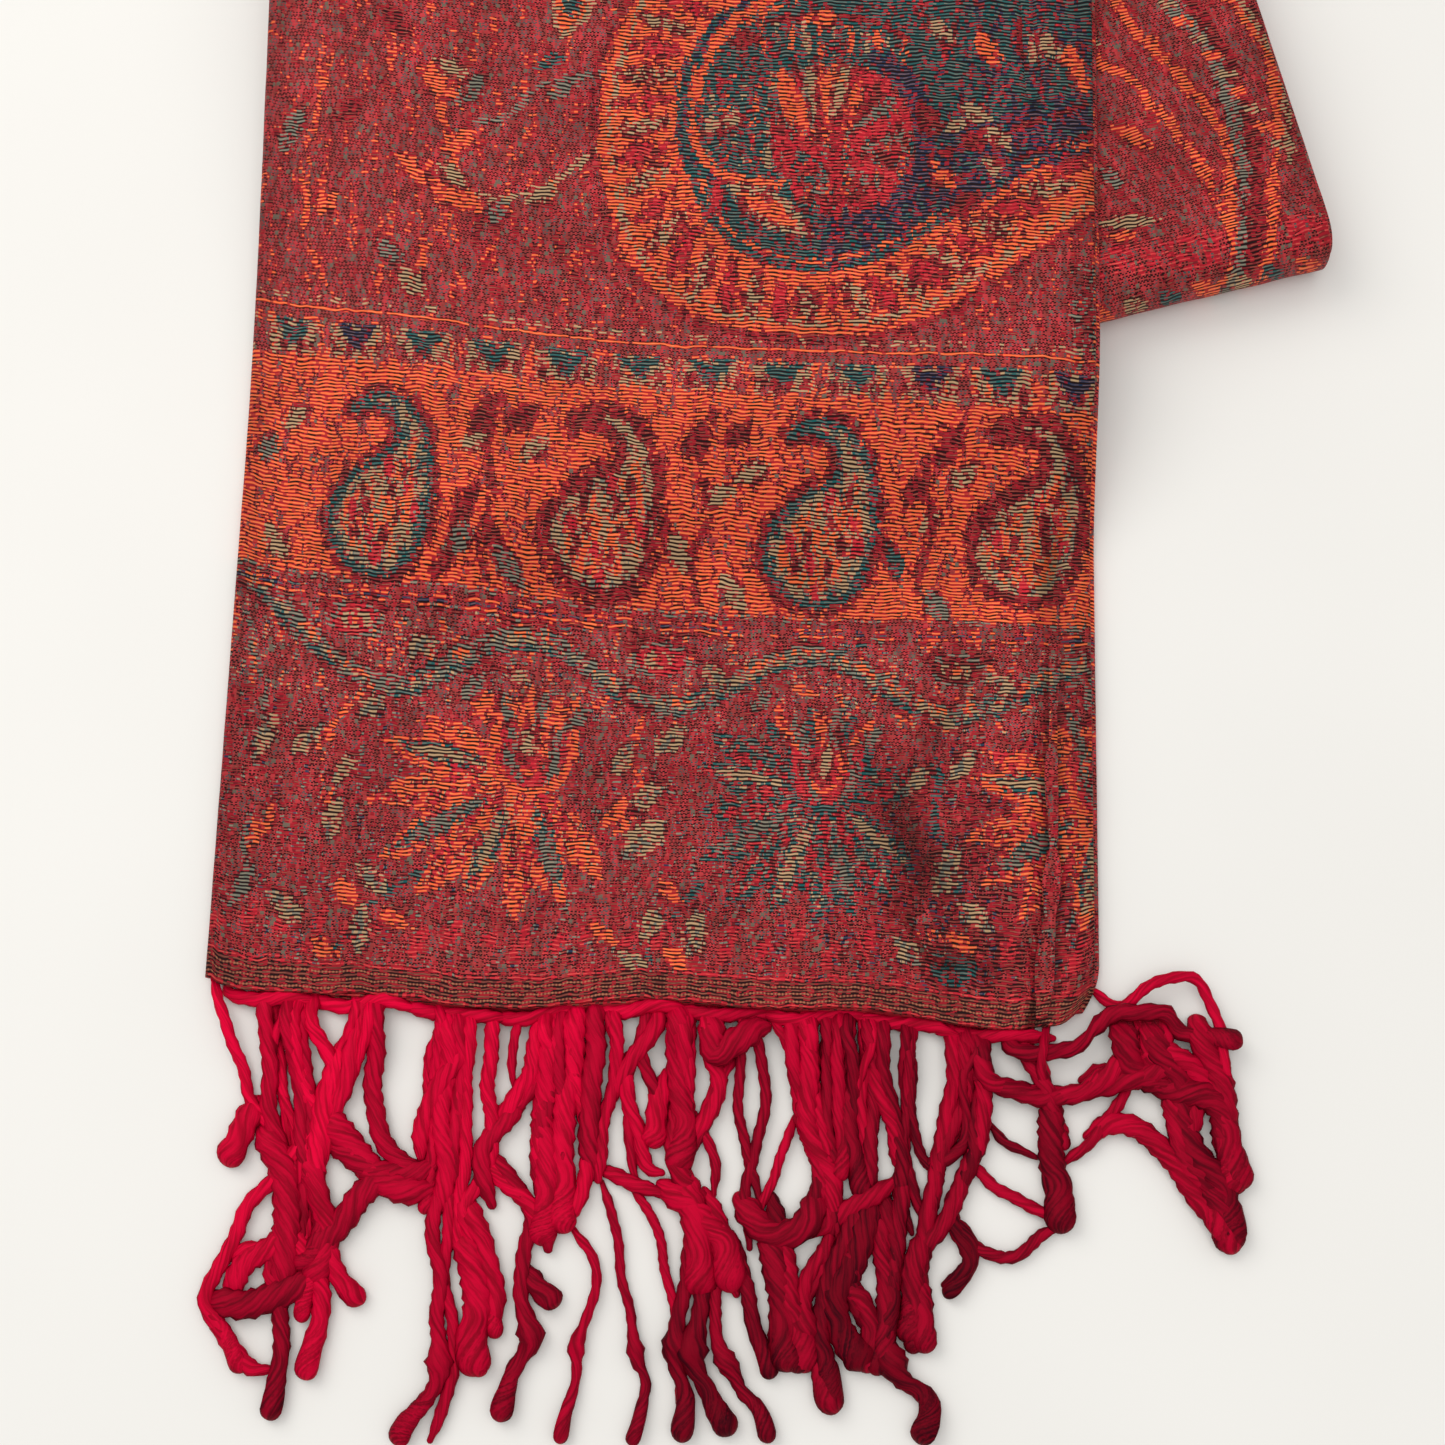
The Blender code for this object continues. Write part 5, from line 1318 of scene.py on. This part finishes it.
# Where strands run along the hem: from, to, spacing in millimetres
HEM_TIES = (-112, 84, 24)
TIE_ROUTE = ((0, 1.5), (8, 2.8), (17, 1.4), (27, 2.6))
TIE_WIDTH = 1.8
TIE_LIFT = 0.0004
SINGLE_LIFT = 0.0022
CLUMP_LIFTS = (0.0, 0.0016, 0.0036)
TASSEL_ODDS = 0.6
FLATNESS = 0.7
# How dark the strands are: places across, and shade there
FRINGE_TONES = ((-0.08, -0.01, 0.045, 0.08, 0.11), (0.1, 0.24, 0.5, 0.55, 0.42))
EDGE_SHADE = 0.3


def strand_path(points, draw, low):
    """Smooth uneven route of a strand, in the hem's frame, with its height over the floor."""
    points = np.array(points, dtype=float) * 0.001
    away = points[0] - points[1]
    if 0.0 < points[0, 1] < NEAR_HEM:
        points = np.vstack([(points[0, 0] + 0.2 * away[0], -0.001), points])
    elif points[0, 1] >= NEAR_HEM:
        points = np.vstack([points[0] + HIDDEN_START * away / np.hypot(*away), points])
    route = smooth_line(points, 12)
    run = np.concatenate([[0.0], np.cumsum(np.hypot(*np.diff(route, axis=0).T))])
    total = run[-1]
    place = np.concatenate([
        ROUND_STEPS, np.linspace(ROUND_TIP, total - ROUND_TIP, max(int(total / STRAND_STEP), 8)),
        total - ROUND_STEPS[::-1]])
    x, y = np.interp(place, run, route[:, 0]), np.interp(place, run, route[:, 1])
    for length in SWAY_LENGTHS:
        turn = draw.uniform(0, 2 * pi, 2)
        sway = smooth(place / SWAY_RUN) * (SWAY_SHARE * length)
        x = x + sway * np.sin(2 * pi * place / length + turn[0])
        y = y + sway * np.sin(2 * pi * place / length + turn[1])
    lift = low + LIFT_WAVE * (1 + np.sin(2 * pi * place / LIFT_LENGTH + draw.uniform(0, 6.3)))
    lift = lift * smooth(place / 0.009) * (1.0 - LIE_DOWN * smooth((y - 0.004) / 0.024))
    return x, y, lift, place


def strand_rings(x, y, lift, place, half_width, end, draw, place_point):
    """Rings of points round a flattened two-ply strand, with a knot or a tassel at its end."""
    total = place[-1]
    left = total - place
    thin = 0.45 if y[0] > 0.004 else 0.7
    radius = half_width * 0.001 * (thin + (1 - thin) * smooth(place / 0.006))
    tassel = np.zeros(len(place))
    if end:
        tassel = smooth(1.0 - left / min(TASSEL_REACH, 0.4 * total))
    else:
        radius = radius * (0.5 + 0.5 * smooth(left / TAPER_REACH))
    radius = radius * (1.0 + TASSEL_GROWTH[end] * tassel)
    if end == 2:
        knot = np.exp(-((left - min(KNOT_PLACE, 0.5 * total)) / KNOT_LENGTH)**2)
        radius = radius * (1.0 + KNOT_GROWTH * knot)
    for away in (left, place):
        reach = np.clip(away / np.maximum(1.2 * radius, 1e-5), 0.0, 1.0)
        radius = radius * np.maximum(np.sqrt(1.0 - (1.0 - reach)**2), 0.12)
    angle = 2 * pi * np.arange(STRAND_SIDES) / STRAND_SIDES
    turns = place * 1000 * PLY_TWIST * draw.uniform(0.8, 1.2) * (1 - 0.7 * tassel)
    twist = turns[:, None] + draw.uniform(0, 6.3)
    lobe = 1.0 + PLY_LOBE * np.cos(2 * (angle - twist)) * (1 - tassel[:, None])
    lobe = lobe + TASSEL_LOBE * tassel[:, None] * np.cos(5 * angle + draw.uniform(0, 6.3))
    ahead = [np.convolve(np.pad(np.gradient(way), 3, "edge"), np.ones(7) / 7, "valid") for way in (y, x)]
    heading = np.arctan2(*ahead)[:, None]
    wide = 1.08 + 0.11 * max(half_width - 1.4, 0.0)
    sideways = radius[:, None] * lobe * np.cos(angle) * wide
    upwards = radius[:, None] * lobe * np.sin(angle) * FLATNESS / wide
    px = x[:, None] - sideways * np.sin(heading)
    py = y[:, None] + sideways * np.cos(heading)
    height = lift[:, None] + (radius * FLATNESS / wide)[:, None] * 1.08 + upwards
    lean = angle - 0.2 * twist
    around = 1.9 * sqrt(half_width)
    fibre = stack(np.cos(lean) * around, np.sin(lean) * around, place[:, None] * 75 + draw.uniform(0, 90))
    # Painted shade: darker to the right and outwards, as light falls, plus a random tone for each strand and
    # painted shade on its sides and underside
    depth = np.interp(x, *FRINGE_TONES) + 4.2 * y + draw.uniform(-0.26, 0.26)
    depth = np.clip(depth[:, None] + EDGE_SHADE * (1.0 - np.sin(angle)), 0.0, 1.0)
    return place_point(px, py, np.maximum(height, FLOOR_CLEAR)), fibre, depth


def clump_route(draw, share, start, stop, way, gather, spread):
    """Route of one strand of a clump, by its share of the way across."""
    lean = 2 * share - 1 + draw.uniform(-0.5, 0.5)
    cut_short = draw.uniform(-0.16, 0.05)
    root = start + (stop - start) * share
    points = [(root, -2), (root + draw.uniform(-2, 2), 6)]
    for x, y in way[:-1]:
        points.append((x + gather * lean + draw.uniform(-3, 3), y + draw.uniform(-2, 2)))
    x, y = way[-1]
    points.append((x + spread * lean + draw.uniform(-3, 3), y * (1 + cut_short) + draw.uniform(-2, 2)))
    return points


def build_fringe(name, clumps, singles, place_point, seed, material):
    """All strands along one hem, in one mesh."""
    draw = np.random.default_rng(seed)
    routes = [(width, end, np.cumsum(np.reshape(way, (-1, 2)), axis=0), SINGLE_LIFT)
              for width, end, *way in singles]
    for start in np.arange(*HEM_TIES):
        routes.append((TIE_WIDTH, 0, np.array(TIE_ROUTE) + (start, 0), TIE_LIFT))
    for count, *clump in clumps:
        for k in range(count):
            points = clump_route(draw, (k + draw.uniform(0.15, 0.85)) / count, *clump)
            end = 1 if draw.random() < TASSEL_ODDS else 0
            routes.append((draw.uniform(1.05, 1.9), end, points, draw.choice(CLUMP_LIFTS)))
    points, fibres, strand_shades, faces = [], [], [], []
    ring = np.arange(STRAND_SIDES)
    base = 0
    for width, end, route, low in routes:
        path = strand_path(route, draw, low)
        rings, fibre, depth = strand_rings(*path, width, end, draw, place_point)
        faces += (row_quads(len(rings), STRAND_SIDES) + base).tolist()
        faces += [(ring[::-1] + base).tolist(), (ring + base + (len(rings) - 1) * STRAND_SIDES).tolist()]
        points.append(rings.reshape(-1, 3))
        fibres.append(fibre.reshape(-1, 3))
        strand_shades.append(depth.ravel())
        base += depth.size
    return shell(name, np.vstack(points), faces, material, (
        ("fibre", "FLOAT_VECTOR", "POINT", np.vstack(fibres)),
        ("strand", "FLOAT", "POINT", np.concatenate(strand_shades))))


def hem_shift(across, out):
    """How far the hem's wave carries a strand's point; it fades outwards."""
    return (1.0 - smooth(out / HEM_FADE)) * hem_line(np.clip(across, -HALF_BAND, HALF_BAND))


def place_near(across, out, height):
    """World point of the near fringe, across the hem and outwards from it."""
    return band_point(across, hem_shift(across, out) - out, height)


def place_far_fringe(across, out, height):
    """World point of the far fringe, across the far hem and outwards from it."""
    return pack_point(-FAR_HEM + hem_shift(across, out) - out, -across, height)


# Camera over the band, tilted towards the fringe
AIM = (0.018, 0.0762, 0.008)
CAMERA_DISTANCE = 0.633
CAMERA_TILT = radians(13.8)
CAMERA_PAN = radians(2.3)
CAMERA_ROLL = radians(1.42)
CAMERA_ANGLE = radians(34.2)
# Lamps: name, place, size, power and colour
LAMPS = (
    ("key", (-0.75, 0.5, 1.05), 1.0, 7.5, (1.0, 0.98, 0.95)),
    ("fill", (0.1, -0.35, 1.4), 1.2, 4.8, (1.0, 1.0, 1.0)),
)
WORLD_LIGHT = 0.64
FLOOR_REACH = 2.5
FLOOR_DROP = 0.0003


def add_camera():
    aim = Vector(band_point(*map(np.array, AIM)).tolist())
    back = Vector((sin(CAMERA_PAN), -sin(CAMERA_TILT), cos(CAMERA_TILT))).normalized()
    up = Vector((-sin(CAMERA_ROLL), cos(CAMERA_ROLL), 0.0))
    right = up.cross(back).normalized()
    up = back.cross(right)
    camera = link("camera", bpy.data.cameras.new("camera"))
    camera.data.angle = CAMERA_ANGLE
    camera.data.clip_start = 0.01
    camera.matrix_world = Matrix((right, up, back)).transposed().to_4x4()
    camera.location = aim + CAMERA_DISTANCE * back
    bpy.context.scene.camera = camera


def add_lamp(name, place, size, power, colour):
    lamp = link(name, bpy.data.lights.new(name, "AREA"))
    lamp.data.size = size
    lamp.data.energy = power
    lamp.data.color = colour
    lamp.location = place
    lamp.rotation_euler = (-Vector(place)).to_track_quat("-Z", "Y").to_euler()


def add_studio():
    """Pale floor, soft light all round, a large lamp to the upper left and a weaker one below."""
    world = bpy.data.worlds.new("studio")
    world.use_nodes = True
    sky = world.node_tree.nodes["Background"].inputs
    sky["Color"].default_value = (1.0, 1.0, 1.0, 1.0)
    sky["Strength"].default_value = WORLD_LIGHT
    bpy.context.scene.world = world
    for lamp in LAMPS:
        add_lamp(*lamp)
    g = Graph("pale_floor", 0.9, specular=0.1)
    tone = g.ramp(g.noise(g.node("TexCoord").outputs["Object"], 6.0), 0.3, 0.7)
    material = g.finish(g.mix(tone, dye(240, 238, 233), dye(243, 241, 236)))
    corners = FLOOR_REACH * np.array([(-1, -1), (1, -1), (1, 1), (-1, 1)])
    shell("floor", stack(*corners.T, -FLOOR_DROP), [(0, 1, 2, 3)], material)
    bpy.context.scene.view_settings.view_transform = "Standard"


def main():
    woven = woven_material()
    yarn = fringe_material()
    near = build_fringe("near_strands", CLUMPS, SINGLES, place_near, 41, yarn)
    far = build_fringe("far_strands", FAR_CLUMPS, (), place_far_fringe, 43, yarn)
    inner = build_inner(woven)
    front = build_front(woven)
    second = build_second(woven)
    end = build_far(woven)
    for piece, node, slot in ((near, "near_fringe", "fringe_yarn"), (far, "far_fringe", "fringe_yarn"),
                              (inner, "inner_layers", "woven_inner"), (front, "front_stretch", "woven_cloth"),
                              (second, "second_stretch", "woven_cloth"), (end, "far_stretch", "woven_cloth")):
        declare(piece, node, slot)
    add_studio()
    add_camera()


main()
